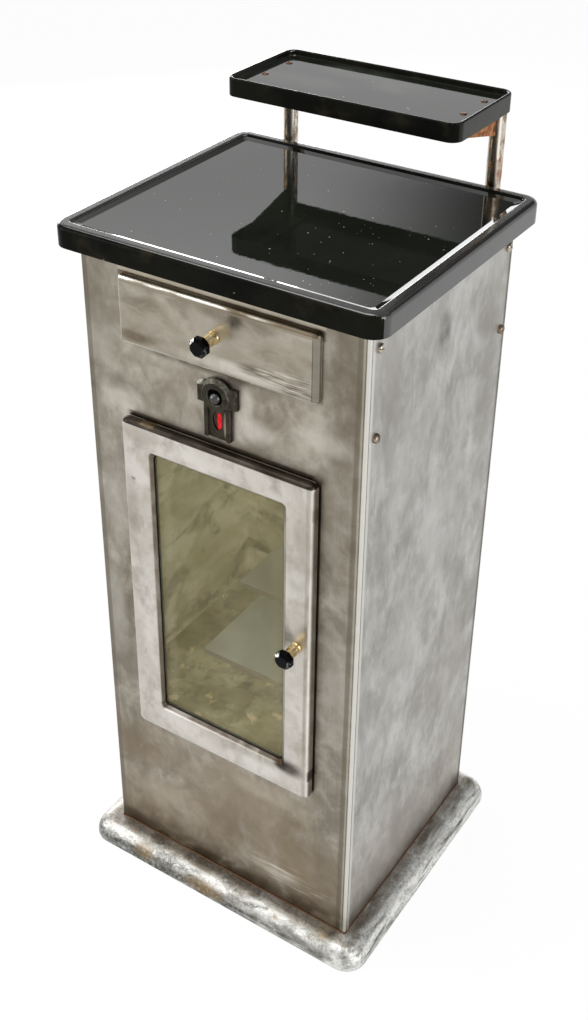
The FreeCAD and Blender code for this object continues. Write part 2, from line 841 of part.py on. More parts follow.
def tray_section(name, half, low, lip, sheet, y):
    """A flat sheet with both long edges turned down, as one bent section along y."""
    body = new_body(name)
    sketch = new_sketch(body, "XZ_Plane", name + "_section", minus(y[1]))
    top = f"({low}) + ({sheet})"
    foot = f"({top}) - ({lip})"
    inner = f"({half}) - ({sheet})"
    add_loop(sketch, [
        (minus(half), foot), (minus(inner), foot), (minus(inner), low), (inner, low),
        (inner, foot), (half, foot), (half, top), (minus(half), top)])
    pad(body, sketch, f"({y[1]}) - ({y[0]})")
    return body


def make_inner_decks():
    """The sheets that stiffen the body: bottom, cupboard floor, cupboard ceiling and top."""
    y = (minus("deck_front"), "back_in")
    low = "plinth_height + wall_flange - sheet"
    keep(tray_section("bottom_body", "wall_in", low, "wall_flange", "sheet", y), "bottom_panel")
    low = "cupboard_floor - sheet"
    keep(tray_section("floor_body", "wall_in", low, "wall_flange", "sheet", y), "cupboard_floor")
    low = "ceiling_low"
    keep(tray_section("ceiling_body", "wall_in", low, "wall_flange", "sheet", y), "cupboard_ceiling")
    low = "body_top - sheet"
    keep(tray_section("top_deck_body", "wall_in", low, "wall_flange", "sheet", y), "top_deck")


def make_drawer_case():
    """Deck that carries the drawer, with cheeks that the wall screws hold."""
    body = new_body("drawer_case_body")
    sketch = new_sketch(body, "XZ_Plane", "drawer_case_section", minus("back_in"))
    out = "wall_in"
    inner = "wall_in - sheet"
    add_loop(sketch, [
        (minus(out), "cheek_low"), (minus(inner), "cheek_low"), (minus(inner), "deck_height"),
        (inner, "deck_height"), (inner, "cheek_low"), (out, "cheek_low"), (out, "cheek_high"),
        (inner, "cheek_high"), (inner, "deck_top"), (minus(inner), "deck_top"),
        (minus(inner), "cheek_high"), (minus(out), "cheek_high")])
    pad(body, sketch, "back_in + deck_front")
    sketch = new_sketch(body, "YZ_Plane", "cheek_holes", "half_width")
    for reach in ("wall_screw_front", "wall_screw_rear"):
        for height in ("wall_screw_high", "wall_screw_low"):
            add_circle(sketch, reach, height, "wall_screw_radius")
    pocket(body, sketch, "body_width", name="cheek_drilling")
    keep(body, "drawer_case")


def make_wall_screws():
    """Slotted pan-head screws through the side panels, and the nuts that hold them inside."""
    screws = []
    nuts = []
    for side, way in (("1", "-x"), ("-1", "+x")):
        for reach in ("wall_screw_front", "wall_screw_rear"):
            for height in ("wall_screw_high", "wall_screw_low"):
                tag = f"{len(screws)}"
                face = (f"{side} * half_width", reach, height)
                out = "+x" if side == "1" else "-x"
                head = rod("wall_head_" + tag, face, out, "wall_screw_head_radius", "wall_screw_head")
                shank = rod("wall_shank_" + tag, face, way, "wall_screw_radius", "wall_screw_length")
                slot = block("wall_slot_" + tag, (f"{side} * (half_width + wall_screw_head) - wall_screw_slot",
                                                  f"{side} * (half_width + wall_screw_head) + wall_screw_slot"),
                             (f"{reach} - wall_screw_head_radius - overrun",
                              f"{reach} + wall_screw_head_radius + overrun"),
                             (f"{height} - wall_screw_slot / 2", f"{height} + wall_screw_slot / 2"))
                screws.append(cut("wall_screw_" + tag, fuse("wall_screw_blank_" + tag, [head, shank]), [slot]))
                seat = (f"{side} * (wall_in - sheet)", reach, height)
                nut = hexagon("wall_nut_blank_" + tag, seat, way, "nut_across", "nut_thick")
                bore = rod("wall_nut_bore_" + tag, face, way, "wall_screw_radius", "wall_screw_length")
                nuts.append(cut("wall_nut_" + tag, nut, [bore]))
    keep(gather("wall_screw_group", screws), "side_screws")
    keep(gather("wall_nut_group", nuts), "side_screw_nuts")


# Enamelled top

def make_enamel_top():
    """Pressed top with a raised rolled rim, hollow from below so that it drops over the body."""
    out_x = "half_width + top_overhang"
    out_y = "half_depth + top_overhang"
    foot = "work_height - top_height"
    body = cushion("top_outside", "XY_Plane", (minus(out_x), out_x), (minus(out_y), out_y), foot, "top_height",
                   "top_corner", "top_round")
    in_x = f"{out_x} - top_skirt"
    in_y = f"{out_y} - top_skirt"
    hollow = cushion("top_hollow", "XY_Plane", (minus(in_x), in_x), (minus(in_y), in_y),
                     f"{foot} - overrun", f"body_top - ({foot}) + overrun",
                     "top_corner - top_skirt")
    in_x = f"{out_x} - top_rim"
    in_y = f"{out_y} - top_rim"
    sketch = new_sketch(body, "XY_Plane", "recess_outline", "work_height")
    add_loop(sketch, oblong((minus(in_x), in_x), (minus(in_y), in_y)))
    pocket(body, sketch, "top_recess", name="recess")
    deep = value("work_height - top_recess")
    dress(body, "Fillet", straight_edges(body.Shape, Z, upright_at(in_x, in_y)), "top_inner_corner",
          "recess_corners")
    inside = value(in_x) + NEAR
    rim = edges_at(body.Shape, Z, value("work_height"), lambda at: abs(at.x) < inside)
    dress(body, "Fillet", rim, "top_inner_round", "rim_round")
    floor = edges_at(body.Shape, Z, deep)
    dress(body, "Fillet", floor, "top_inner_round", "floor_round")
    keep(cut("top_hollowed", body, [hollow]), "enamel_top")


# Door

def make_door_frame():
    """Pressed door pan, open at the back, with a sloping lip round the glass."""
    outside = cushion("door_outside", "XZ_Plane", ("-door_half", "door_half"), ("door_low", "door_high"),
                      "door_back", "door_depth", "door_corner", "door_round")
    half = "door_half - door_sheet"
    cavity = cushion("door_cavity", "XZ_Plane", (minus(half), half),
                     ("door_low + door_sheet", "door_high - door_sheet"), "door_back - overrun",
                     "door_depth - door_sheet + overrun", "door_corner - door_sheet", "door_round - door_sheet")
    lip_x = "light_half + lip_wall"
    lip = frustum("lip_outside", (minus(lip_x), lip_x), (minus("door_face"), minus("lip_back")),
                  ("light_low - lip_wall", "light_high + lip_wall"), "lip_slope")
    light = frustum("lip_inside", (minus("light_half"), "light_half"), (minus("door_face"), minus("lip_back")),
                    ("light_low", "light_high"), "lip_slope")
    hole = rod("door_knob_hole", ("door_knob_x", minus("door_face + overrun"), "door_knob_height"), "+y",
               "knob_screw_radius", "door_sheet + 2 * overrun")
    pan = fuse("door_pan_lip", [cut("door_pan", outside, [cavity]), lip])
    keep(cut("door_pan_open", pan, [light, hole]), "door_frame")


def ring_block(name, x, z, width, y):
    """A flat rectangular frame of one width, between two depths."""
    outer = block(name + "_outer", (minus(x), x), y, z)
    inner_x = f"({x}) - ({width})"
    inner = block(name + "_inner", (minus(inner_x), inner_x), (f"{y[0]} - overrun", f"{y[1]} + overrun"),
                  (f"({z[0]}) + ({width})", f"({z[1]}) - ({width})"))
    return cut(name, outer, [inner])


def make_glazing():
    """Bevelled plate glass on a black gasket, and the frame and screws that hold it from behind."""
    gasket = ring_block("gasket_ring", "glass_half", ("glass_low", "glass_high"), "glass_cover",
                        (minus("lip_back"), minus("glass_front")))
    keep(gasket, "glass_gasket")
    plate = block("glass_plate", (minus("glass_half"), "glass_half"),
                  (minus("glass_front - glass_bevel_drop"), minus("glass_rear")), ("glass_low", "glass_high"))
    seat = block("glass_border", (minus("glass_half"), "glass_half"),
                 (minus("glass_front"), minus("glass_front - glass_bevel_drop")), ("glass_low", "glass_high"))
    bevel_in = "glass_cover"
    cutter = frustum("bevel_mouth", (f"-glass_half + {bevel_in}", f"glass_half - {bevel_in}"),
                     (minus("glass_front"), minus("glass_front - glass_bevel_drop")),
                     (f"glass_low + {bevel_in}", f"glass_high - {bevel_in}"), "0")
    field = frustum("glass_field", (f"-glass_half + {bevel_in} + glass_bevel",
                                    f"glass_half - {bevel_in} - glass_bevel"),
                    (minus("glass_front"), minus("glass_front - glass_bevel_drop")),
                    (f"glass_low + {bevel_in} + glass_bevel", f"glass_high - {bevel_in} - glass_bevel"),
                    "-glass_bevel")
    border = cut("glass_rim", seat, [cutter])
    keep(fuse("glass_joined", [plate, border, field]), "door_glass")
    outer_x = "glass_half + fit_gap + retainer_width"
    outer_z = ("glass_low - fit_gap - retainer_width", "glass_high + fit_gap + retainer_width")
    wall = ring_block("retainer_wall", outer_x, outer_z, "retainer_width", (minus("door_inner"), minus("glass_rear")))
    lip = ring_block("retainer_lip_ring", outer_x, outer_z, "retainer_width + fit_gap + retainer_cover",
                     (minus("glass_rear"), minus("glass_rear - retainer_lip")))
    keep(fuse("retainer_joined", [wall, lip]), "glass_retainer")
    heads = []
    reach_x = "glass_half + fit_gap + retainer_width / 2"
    low = "glass_low - fit_gap - retainer_width / 2"
    high = "glass_high + fit_gap + retainer_width / 2"
    spots = [(x, z) for x in (minus(reach_x), reach_x) for z in (low, f"({low} + {high}) / 2", high)]
    for index, (x, z) in enumerate(spots):
        heads.append(rod(f"retainer_screw_{index}", (x, minus("glass_rear - retainer_lip"), z), "+y",
                         "retainer_screw_radius", "retainer_screw_head"))
    keep(gather("retainer_screw_group", heads), "glass_retainer_screws")


def make_hinges():
    """Hooked hinge plates welded behind the front panel, with lugs and pins inside the door's edge."""
    plates = []
    lugs = []
    pins = []
    for end, level in (("lower", "door_low + hinge_from_end"), ("upper", "door_high - hinge_from_end")):
        body = new_body(f"hinge_plate_{end}")
        sketch = new_sketch(body, "XY_Plane", f"hinge_hook_{end}", level)
        arm_out = "-clear_half + hinge_arm_clearance"
        arm_in = f"{arm_out} + hinge_arm"
        turn_back = "-panel_in + edge_flange + hinge_arm_clearance"
        tail = f"{arm_out} - hinge_tail"
        add_loop(sketch, [
            ("hinge_x", "-hinge_y - hinge_arm / 2"), (arm_in, "-hinge_y - hinge_arm / 2"),
            (arm_in, f"{turn_back} + hinge_arm"), (tail, f"{turn_back} + hinge_arm"),
            (tail, "-panel_in"), (f"{tail} + hinge_arm", "-panel_in"), (f"{tail} + hinge_arm", turn_back),
            (arm_out, turn_back), (arm_out, "-hinge_y + hinge_arm / 2"), ("hinge_x", "-hinge_y + hinge_arm / 2")])
        pad(body, sketch, "hinge_plate")
        sketch = new_sketch(body, "XY_Plane", f"hinge_eye_{end}", level)
        add_circle(sketch, "hinge_x", "-hinge_y", "hinge_eye_radius")
        pad(body, sketch, "hinge_plate", name="eye")
        sketch = new_sketch(body, "XY_Plane", f"hinge_bore_{end}", level)
        add_circle(sketch, "hinge_x", "-hinge_y", "hinge_pin_radius + hinge_pin_clearance")
        pocket(body, sketch, "hinge_plate", back=True, name="bore")
        plates.append(body)
        foot = f"{level} - hinge_lug_gap - hinge_lug"
        for name, low in (("under", foot), ("over", f"{level} + hinge_plate + hinge_lug_gap")):
            wall = "-door_half + door_sheet"
            clip = "door_round - door_sheet"
            tip = "hinge_x + hinge_inset"
            lug = slab(f"lug_{end}_{name}", "XY_Plane", low, "hinge_lug", [
                (wall, minus("door_back")), (tip, minus("door_back")), (tip, minus("door_inner")),
                (f"{wall} + {clip}", minus("door_inner")), (wall, f"{clip} - door_inner")])
            bore = rod(f"lug_bore_{end}_{name}", ("hinge_x", "-hinge_y", f"{low} - overrun"), "+z",
                       "hinge_pin_radius", "hinge_lug + 2 * overrun")
            lugs.append(cut(f"lug_drilled_{end}_{name}", lug, [bore]))
        pins.append(rod(f"hinge_pin_{end}", ("hinge_x", "-hinge_y", foot), "+z", "hinge_pin_radius",
                        "hinge_plate + 2 * (hinge_lug_gap + hinge_lug)"))
    keep(gather("hinge_plate_group", plates), "hinge_plates")
    keep(gather("hinge_lug_group", lugs), "hinge_lugs")
    keep(gather("hinge_pin_group", pins), "hinge_pins")


def make_catch():
    """Sprung bronze clip on the door opening's edge, and the tongue on the door that it grips."""
    centre = "door_half - strike_inset"
    left = f"{centre} - strike_thick / 2 - runner_float"
    right = f"{centre} + strike_thick / 2 + catch_slack"
    back = "-panel_in + catch_reach"
    mouth = "-panel_in + runner_float"
    body = new_body("catch_body")
    sketch = new_sketch(body, "XY_Plane", "catch_section", "catch_height - catch_width / 2")
    add_loop(sketch, [
        (f"{left} - catch_leaf", mouth), (left, mouth), (left, back), (right, back), (right, mouth),
        (f"{right} + catch_leaf", mouth), (f"{right} + catch_leaf", back), ("clear_half - catch_leaf", back),
        ("clear_half - catch_leaf", mouth), ("clear_half", mouth), ("clear_half", f"{back} + catch_leaf"),
        (f"{left} - catch_leaf", f"{back} + catch_leaf")])
    pad(body, sketch, "catch_width")
    keep(body, "catch_clip")
    tongue = block("strike_tongue", (f"{centre} - strike_thick / 2", f"{centre} + strike_thick / 2"),
                   (minus("door_inner"), "-door_inner + strike_reach"),
                   ("catch_height - catch_width / 2", "catch_height + catch_width / 2"))
    foot = block("strike_foot", (f"{centre} - strike_thick / 2", "door_half - door_round - fit_gap"),
                 (minus("door_inner"), "-door_inner + strike_thick"),
                 ("catch_height - catch_width / 2", "catch_height + catch_width / 2"))
    keep(fuse("strike_joined", [tongue, foot]), "door_strike")


def make_bumpers():
    """Rubber buttons on the front panel that the closed door rests on."""
    buttons = []
    for index, height in enumerate(("door_low + bumper_from_end", "door_high - bumper_from_end")):
        buttons.append(rod(f"bumper_{index}", ("door_half - bumper_inset", minus("half_depth"), height), "-y",
                           "bumper_radius", "door_inner - half_depth - bumper_clearance"))
    keep(gather("bumper_group", buttons), "door_bumpers")


# Knobs

def make_knob(owner, x, face, inner, z):
    """Eight-sided black glass knob on a flared brass neck, held by a screw from behind."""
    body = new_body(owner + "_knob_body")
    across = "knob_across / 2"
    corner = f"{across} * tan(22.5)"
    back = f"{face} + neck_length"
    sketch = new_sketch(body, "XZ_Plane", owner + "_knob_outline", back)
    turned = [(1, corner, across), (1, across, corner), (1, across, minus(corner)), (1, corner, minus(across)),
              (1, minus(corner), minus(across)), (1, minus(across), minus(corner)),
              (1, minus(across), corner), (1, minus(corner), across)]
    add_loop(sketch, [(f"{x} + ({u})", f"{z} + ({v})") for count, u, v in turned])
    pad(body, sketch, "knob_thick")
    dress(body, "Chamfer", edges_at(body.Shape, Y, -value(f"{back} + knob_thick")), "knob_front_bevel", "table")
    dress(body, "Chamfer", edges_at(body.Shape, Y, -value(back)), "knob_back_bevel", "pavilion")
    shank = f"knob_screw_grip - ({face}) + ({inner}) - neck_length"
    sketch = new_sketch(body, "XZ_Plane", owner + "_knob_bore", back)
    add_circle(sketch, x, z, "knob_screw_radius")
    pocket(body, sketch, f"({shank}) + knob_screw_grip", back=True, name="screw_bore")
    keep(body, owner + "_knob")
    foot = rod(owner + "_neck_foot", (x, minus(face), z), "-y", "neck_base_radius", "neck_foot")
    flare = cone(owner + "_neck_flare", (x, minus(f"{face} + neck_foot"), z), "-y", "neck_base_radius",
                 "neck_front_radius", "neck_length - neck_foot - neck_collar")
    collar = rod(owner + "_neck_collar", (x, minus(f"{face} + neck_length - neck_collar"), z), "-y",
                 "neck_collar_radius", "neck_collar")
    bore = rod(owner + "_neck_bore", (x, minus(f"{face} - overrun"), z), "-y", "knob_screw_radius",
               "neck_length + 2 * overrun")
    keep(cut(owner + "_neck_bored", fuse(owner + "_neck_blank", [foot, flare, collar]), [bore]),
         owner + "_knob_neck")
    head = rod(owner + "_knob_screw_head", (x, minus(inner), z), "+y", "knob_screw_head_radius",
               "knob_screw_head")
    shaft = rod(owner + "_knob_screw_shaft", (x, minus(inner), z), "-y", "knob_screw_radius",
                f"({back}) - ({inner}) + ({shank}) + knob_screw_grip")
    keep(fuse(owner + "_knob_screw_joined", [head, shaft]), owner + "_knob_screw")


# Drawer

def make_drawer():
    """Pressed drawer front over a folded box that runs on two ledges."""
    outside = cushion("drawer_outside", "XZ_Plane", ("-drawer_half", "drawer_half"), ("drawer_low", "drawer_high"),
                      "half_depth + drawer_gap", "drawer_proud - drawer_gap", "drawer_corner", "drawer_round")
    half = "drawer_half - drawer_sheet"
    cavity = cushion("drawer_cavity", "XZ_Plane", (minus(half), half),
                     ("drawer_low + drawer_sheet", "drawer_high - drawer_sheet"),
                     "half_depth + drawer_gap - overrun", "drawer_proud - drawer_gap - drawer_sheet + overrun",
                     "drawer_corner - drawer_sheet", "drawer_round - drawer_sheet")
    hole = rod("drawer_front_hole", ("0", minus("drawer_face + overrun"), "drawer_knob_height"), "+y",
               "knob_screw_radius", "drawer_sheet + 2 * overrun")
    keep(cut("drawer_pan", outside, [cavity, hole]), "drawer_front")
    outer = block("drawer_box_blank", ("-box_half", "box_half"), (minus("drawer_inner"), "box_back"),
                  ("box_low", "box_high"))
    inner = block("drawer_box_room", ("-box_half + drawer_sheet", "box_half - drawer_sheet"),
                  ("-drawer_inner + drawer_sheet", "box_back - drawer_sheet"),
                  ("box_low + drawer_sheet", "box_high + overrun"))
    hole = rod("drawer_box_hole", ("0", minus("drawer_inner + overrun"), "drawer_knob_height"), "+y",
               "knob_screw_radius", "drawer_sheet + 2 * overrun")
    tray = cut("drawer_box_open", outer, [inner, hole])
    lugs = []
    front = "-panel_in + drawer_travel + fit_gap"
    for name, x in (("left", ("-box_half - stop_lug_reach", "-box_half")),
                    ("right", ("box_half", "box_half + stop_lug_reach"))):
        lugs.append(block(f"stop_lug_{name}", x, (front, f"{front} + stop_lug_length"),
                          ("box_high - stop_lug_drop - stop_lug_height", "box_high - stop_lug_drop")))
    keep(fuse("drawer_box_joined", [tray] + lugs), "drawer_box")


def make_runners():
    """Steel runners on the deck: a foot, a web that guides the box's side and a ledge under it."""
    body = new_body("runner_body")
    sketch = new_sketch(body, "XZ_Plane", "runner_section", minus("box_back"))
    web_in = "box_half + runner_gap"
    web_out = f"{web_in} + sheet"
    ledge_in = f"{web_in} - runner_ledge"
    ledge_top = "box_low - runner_float"
    foot_out = f"{web_out} + runner_foot"
    add_loop(sketch, [
        (web_in, "deck_top"), (foot_out, "deck_top"), (foot_out, "deck_top + sheet"),
        (web_out, "deck_top + sheet"), (web_out, f"{ledge_top} + runner_lip"),
        (web_in, f"{ledge_top} + runner_lip"), (web_in, ledge_top), (ledge_in, ledge_top),
        (ledge_in, f"{ledge_top} - sheet"), (web_in, f"{ledge_top} - sheet")])
    pad(body, sketch, "box_back + deck_front")
    keep(body, "right_drawer_runner")
    keep(mirrored("left_runner_body", body), "left_drawer_runner")


def make_drawer_stop():
    """Bent stop at the back of the drawer's travel, fixed to the deck."""
    foot = block("stop_foot", ("-stop_width / 2", "stop_width / 2"),
                 ("box_back + fit_gap", "box_back + fit_gap + stop_width / 2"), ("deck_top", "deck_top + sheet"))
    wall = block("stop_wall", ("-stop_width / 2", "stop_width / 2"),
                 ("box_back + fit_gap", "box_back + fit_gap + sheet"), ("deck_top", "box_low + stop_height"))
    keep(fuse("stop_joined", [foot, wall]), "drawer_stop")


# Inside the cupboard

def make_inner_shelves():
    """Two stepped steel shelves, each with a turned-down front edge, on racks welded to the back."""
    for name, level, reach, back in (
            ("inner_shelf_lower", "inner_shelf_height", "inner_shelf_reach", "back_in - rack_back"),
            ("inner_shelf_upper", "upper_inner_shelf", "inner_upper_reach", "panel_in")):
        deck = block(name + "_deck", ("-inner_shelf_left", "inner_shelf_right"), (minus(reach), back),
                     (f"{level} - sheet", level))
        lip = block(name + "_lip", ("-inner_shelf_left", "inner_shelf_right"), (minus(reach), f"sheet - {reach}"),
                    (f"{level} - inner_shelf_lip", level))
        keep(fuse(name + "_joined", [deck, lip]), name)
    racks = []
    for index, x in enumerate(("rack_inset - inner_shelf_left", "inner_shelf_right - rack_inset")):
        body = new_body(f"rack_{index}")
        sketch = new_sketch(body, "YZ_Plane", f"rack_outline_{index}", f"{x} - rack_plate / 2")
        low = "inner_shelf_height - sheet"
        high = "upper_inner_shelf - sheet"
        add_loop(sketch, [
            ("panel_in", f"{low} - rack_arm"), ("panel_in", high), ("-inner_upper_reach + rack_short", high),
            ("-inner_upper_reach + rack_short", f"{high} - rack_arm / 2"),
            ("back_in - rack_back + sheet", f"{high} - rack_arm"), ("back_in - rack_back + sheet", low),
            ("-inner_shelf_reach + rack_short", low), ("-inner_shelf_reach + rack_short", f"{low} - rack_arm / 2")])
        pad(body, sketch, "rack_plate")
        racks.append(body)
    keep(gather("rack_group", racks), "inner_shelf_racks")


# Posts and the upper shelf

def make_posts():
    """Two plated tubes held off the back by bored clamp blocks."""
    for side, sign in (("left", "-1"), ("right", "1")):
        spot = (f"{sign} * post_spread", "post_back", "post_foot")
        tube = rod(side + "_post_tube", spot, "+z", "post_radius", "shelf_under - post_foot")
        bore = rod(side + "_post_bore", (spot[0], spot[1], "post_foot - overrun"), "+z",
                   "post_radius - post_wall", "shelf_under - post_foot - post_wall + overrun")
        keep(cut(side + "_post_hollow", tube, [bore]), side + "_post")
    clamps = []
    bolts = []
    nuts = []
    for sign in ("-1", "1"):
        for level in ("clamp_high", "clamp_low"):
            tag = f"{len(clamps)}"
            x = f"{sign} * post_spread"
            blank = block("clamp_blank_" + tag, (f"{x} - clamp_width / 2", f"{x} + clamp_width / 2"),
                          ("half_depth", "post_back + post_radius + clamp_wall"),
                          (f"{level} - clamp_height / 2", f"{level} + clamp_height / 2"))
            bore = rod("clamp_bore_" + tag, (x, "post_back", f"{level} - clamp_height"), "+z", "post_radius",
                       "2 * clamp_height")
            holes = []
            for way in ("-", "+"):
                bolt_x = f"{sign} * (post_spread {way} clamp_bolt_spread)"
                end = "post_back + post_radius + clamp_wall"
                name = f"{tag}_{'near' if way == '-' else 'far'}"
                length = f"{end} - panel_in + clamp_bolt_end"
                holes.append(rod("clamp_hole_" + name, (bolt_x, end, level), "-y", "clamp_bolt_radius", length))
                head = hexagon("bolt_head_" + name, (bolt_x, end, level), "+y", "clamp_bolt_head_across",
                               "clamp_bolt_head")
                shank = rod("bolt_shank_" + name, (bolt_x, end, level), "-y", "clamp_bolt_radius", length)
                bolts.append(fuse("bolt_" + name, [head, shank]))
                nut = hexagon("clamp_nut_" + name, (bolt_x, "panel_in", level), "-y", "clamp_bolt_head_across",
                              "nut_thick")
                thread = rod("clamp_nut_bore_" + name, (bolt_x, end, level), "-y", "clamp_bolt_radius", length)
                nuts.append(cut("clamp_nut_bored_" + name, nut, [thread]))
            clamps.append(cut("clamp_" + tag, blank, [bore] + holes))
    keep(gather("clamp_group", clamps), "post_clamps")
    keep(gather("bolt_group", bolts), "clamp_bolts")
    keep(gather("clamp_nut_group", nuts), "clamp_nuts")


def make_upper_shelf():
    """Small enamelled tray with a rolled rim, hollow from below."""
    body = new_body("upper_shelf_body")
    x = "shelf_width / 2"
    sketch = new_sketch(body, "XY_Plane", "shelf_outline", "shelf_low")
    add_loop(sketch, oblong((minus(x), x), ("shelf_front", "shelf_back")))
    pad(body, sketch, "shelf_height")
    dress(body, "Fillet", straight_edges(body.Shape, Z, anywhere), "shelf_corner", "corners")
    inner = f"{x} - shelf_rim"
    sketch = new_sketch(body, "XY_Plane", "shelf_recess_outline", "shelf_top")
    add_rounded(sketch, (minus(inner), inner), ("shelf_front + shelf_rim", "shelf_back - shelf_rim"),
                "shelf_corner - shelf_rim")
    pocket(body, sketch, "shelf_recess", name="recess")
    dress(body, "Fillet", edges_at(body.Shape, Z, value("shelf_top")), "shelf_round", "rolled_rim")
    sketch = new_sketch(body, "XY_Plane", "shelf_holes", "shelf_top")
    for sx, sy in shelf_screw_places():
        add_circle(sketch, sx, sy, "shelf_screw_radius")
    pocket(body, sketch, "shelf_height", name="shelf_drilling")
    inner = f"{x} - shelf_skirt"
    hollow = cushion("shelf_hollow", "XY_Plane", (minus(inner), inner),
                     ("shelf_front + shelf_skirt", "shelf_back - shelf_skirt"), "shelf_low - overrun",
                     "shelf_under - shelf_low + overrun", "shelf_corner - shelf_skirt")
    sinks = []
    for index, (sx, sy) in enumerate(shelf_screw_places()):
        sinks.append(cone(f"shelf_sink_{index}", (sx, sy, "shelf_deck"), "-z", "shelf_screw_head_radius",
                          "shelf_screw_radius", "shelf_screw_head"))
    keep(cut("shelf_hollowed", body, [hollow] + sinks), "upper_shelf")


def shelf_screw_places():
    """Where the screws go down through the shelf into the brackets' flanges."""
    out = "bracket_in - shelf_screw_inset + bracket_plate / 2"
    return [(side, y) for side in (minus(out), out)
            for y in ("shelf_screw_first", "shelf_screw_first + shelf_screw_pitch")]


def make_brackets():
    """Tapered gussets from the posts forward, with a flange that the shelf is screwed to."""
    body = new_body("bracket_web_body")
    sketch = new_sketch(body, "YZ_Plane", "bracket_web", "bracket_in")
    tip = "post_front - bracket_reach"
    add_loop(sketch, [
        (tip, "shelf_under"), ("post_front", "shelf_under"), ("post_front", "shelf_under - bracket_root"),
        (tip, "shelf_under - bracket_tip")])
    pad(body, sketch, "bracket_plate")
    flange = block("bracket_flange_blank", ("bracket_in - bracket_flange", "bracket_in"),
                   (tip, "post_front"), ("shelf_under - bracket_plate", "shelf_under"))
    holes = []
    for index, (x, y) in enumerate(shelf_screw_places()[2:]):
        holes.append(rod(f"bracket_hole_{index}", (x, y, "shelf_under + overrun"), "-z", "shelf_screw_radius",
                         "bracket_plate + 2 * overrun"))
    bracket = cut("bracket_drilled", fuse("bracket_joined", [body, flange]), holes)
    keep(bracket, "right_shelf_bracket")
    keep(mirrored("left_bracket_body", bracket), "left_shelf_bracket")
    screws = []
    nuts = []
    for index, (x, y) in enumerate(shelf_screw_places()):
        under = "shelf_under - bracket_plate"
        head = cone(f"shelf_screw_head_{index}", (x, y, "shelf_deck"), "-z", "shelf_screw_head_radius",
                    "shelf_screw_radius", "shelf_screw_head")
        shank = rod(f"shelf_screw_shank_{index}", (x, y, "shelf_deck"), "-z", "shelf_screw_radius",
                    "shelf_floor + bracket_plate + 2 * shelf_nut_thick")
        screws.append(fuse(f"shelf_screw_{index}", [head, shank]))
        nut = hexagon(f"shelf_nut_blank_{index}", (x, y, under), "-z", "shelf_nut_across", "shelf_nut_thick")
        bore = rod(f"shelf_nut_bore_{index}", (x, y, under), "-z", "shelf_screw_radius", "shelf_nut_thick + overrun")
        nuts.append(cut(f"shelf_nut_{index}", nut, [bore]))
    keep(gather("shelf_screw_group", screws), "shelf_screws")
    keep(gather("shelf_nut_group", nuts), "shelf_screw_nuts")


# Switch and pilot lamp

def lens(name, y, length, gap):
    """A pointed oval prism that fills the plate's window but for a gap all round."""
    arc = "(window_half_width * window_half_width + window_half_height * window_half_height)"
    radius = f"{arc} / (2 * window_half_width)"
    arcs = []
    for index, sign in enumerate(("-1", "1")):
        centre = (f"{sign} * ({radius} - window_half_width)", y, "window_height")
        arcs.append(rod(f"{name}_arc_{index}", centre, "+y", f"{radius} - {gap}", length))
    return common(name, arcs[0], arcs[1])


def make_escutcheon():
    """Cast switch plate: a round boss with a bevelled ear each side and a tail with a pilot window."""
    y = minus("half_depth")
    ring = rod("ring_blank", ("0", y, "switch_height"), "-y", "ring_radius", "ring_proud - ring_bevel")
    crown = cone("ring_crown", ("0", minus("half_depth + ring_proud - ring_bevel"), "switch_height"), "-y",
                 "ring_radius", "ring_radius - ring_bevel", "ring_bevel")
    ears = frustum("ear_bar", ("-ear_reach", "ear_reach"), (minus("half_depth"), minus("half_depth - ear_proud")),
                   ("switch_height - ear_height / 2", "switch_height + ear_height / 2"), "ear_bevel")
    ears.Placement = FreeCAD.Placement(FreeCAD.Vector(), FreeCAD.Rotation(Z, 180))
    bind(ears, Placement__Base__y="-2 * half_depth")
    disc = rod("ear_disc", ("0", y, "switch_height"), "-y", "ear_round", "ear_proud")
    ears = common("ear_ends", ears, disc)
    tail = block("tail_plate", ("-tail_half_width", "tail_half_width"), (minus("half_depth + tail_proud"), y),
                 ("switch_height - tail_length", "switch_height"))
    pieces = [ring, crown, ears, tail]
    rail_x = (("-tail_half_width", "rail_width - tail_half_width"), ("tail_half_width - rail_width", "tail_half_width"))
    for index, x in enumerate(rail_x):
        rail = block(f"tail_rail_{index}", x, (minus("half_depth + rail_proud"), y),
                     ("switch_height - tail_length", "switch_height - ring_hole_radius"))
        pieces.append(rail)
    for index, x in enumerate(("-stud_spread", "stud_spread")):
        pieces.append(rod(f"stud_{index}", (x, y, "switch_height"), "+y", "stud_radius", "stud_length"))
    bore = rod("ring_bore", ("0", minus("half_depth + ring_proud + overrun"), "switch_height"), "+y",
               "ring_hole_radius", "ring_proud + 2 * overrun")
    mouth = cone("ring_mouth", ("0", minus("half_depth + ring_proud"), "switch_height"), "+y",
                 "ring_hole_radius + mouth_bevel", "ring_hole_radius", "mouth_bevel")
    window = lens("window_shape", minus("half_depth + ring_proud"), "ring_proud + overrun", "0")
    keep(cut("escutcheon_cast", fuse("escutcheon_blank", pieces), [bore, mouth, window]), "switch_escutcheon")
    nuts = []
    for index, x in enumerate(("-stud_spread", "stud_spread")):
        nut = hexagon(f"stud_nut_blank_{index}", (x, minus("panel_in"), "switch_height"), "+y",
                      "shelf_nut_across", "shelf_nut_thick")
        hole = rod(f"stud_nut_bore_{index}", (x, minus("panel_in + overrun"), "switch_height"), "+y",
                   "stud_radius", "shelf_nut_thick + 2 * overrun")
        nuts.append(cut(f"stud_nut_{index}", nut, [hole]))
    keep(gather("stud_nut_group", nuts), "escutcheon_nuts")


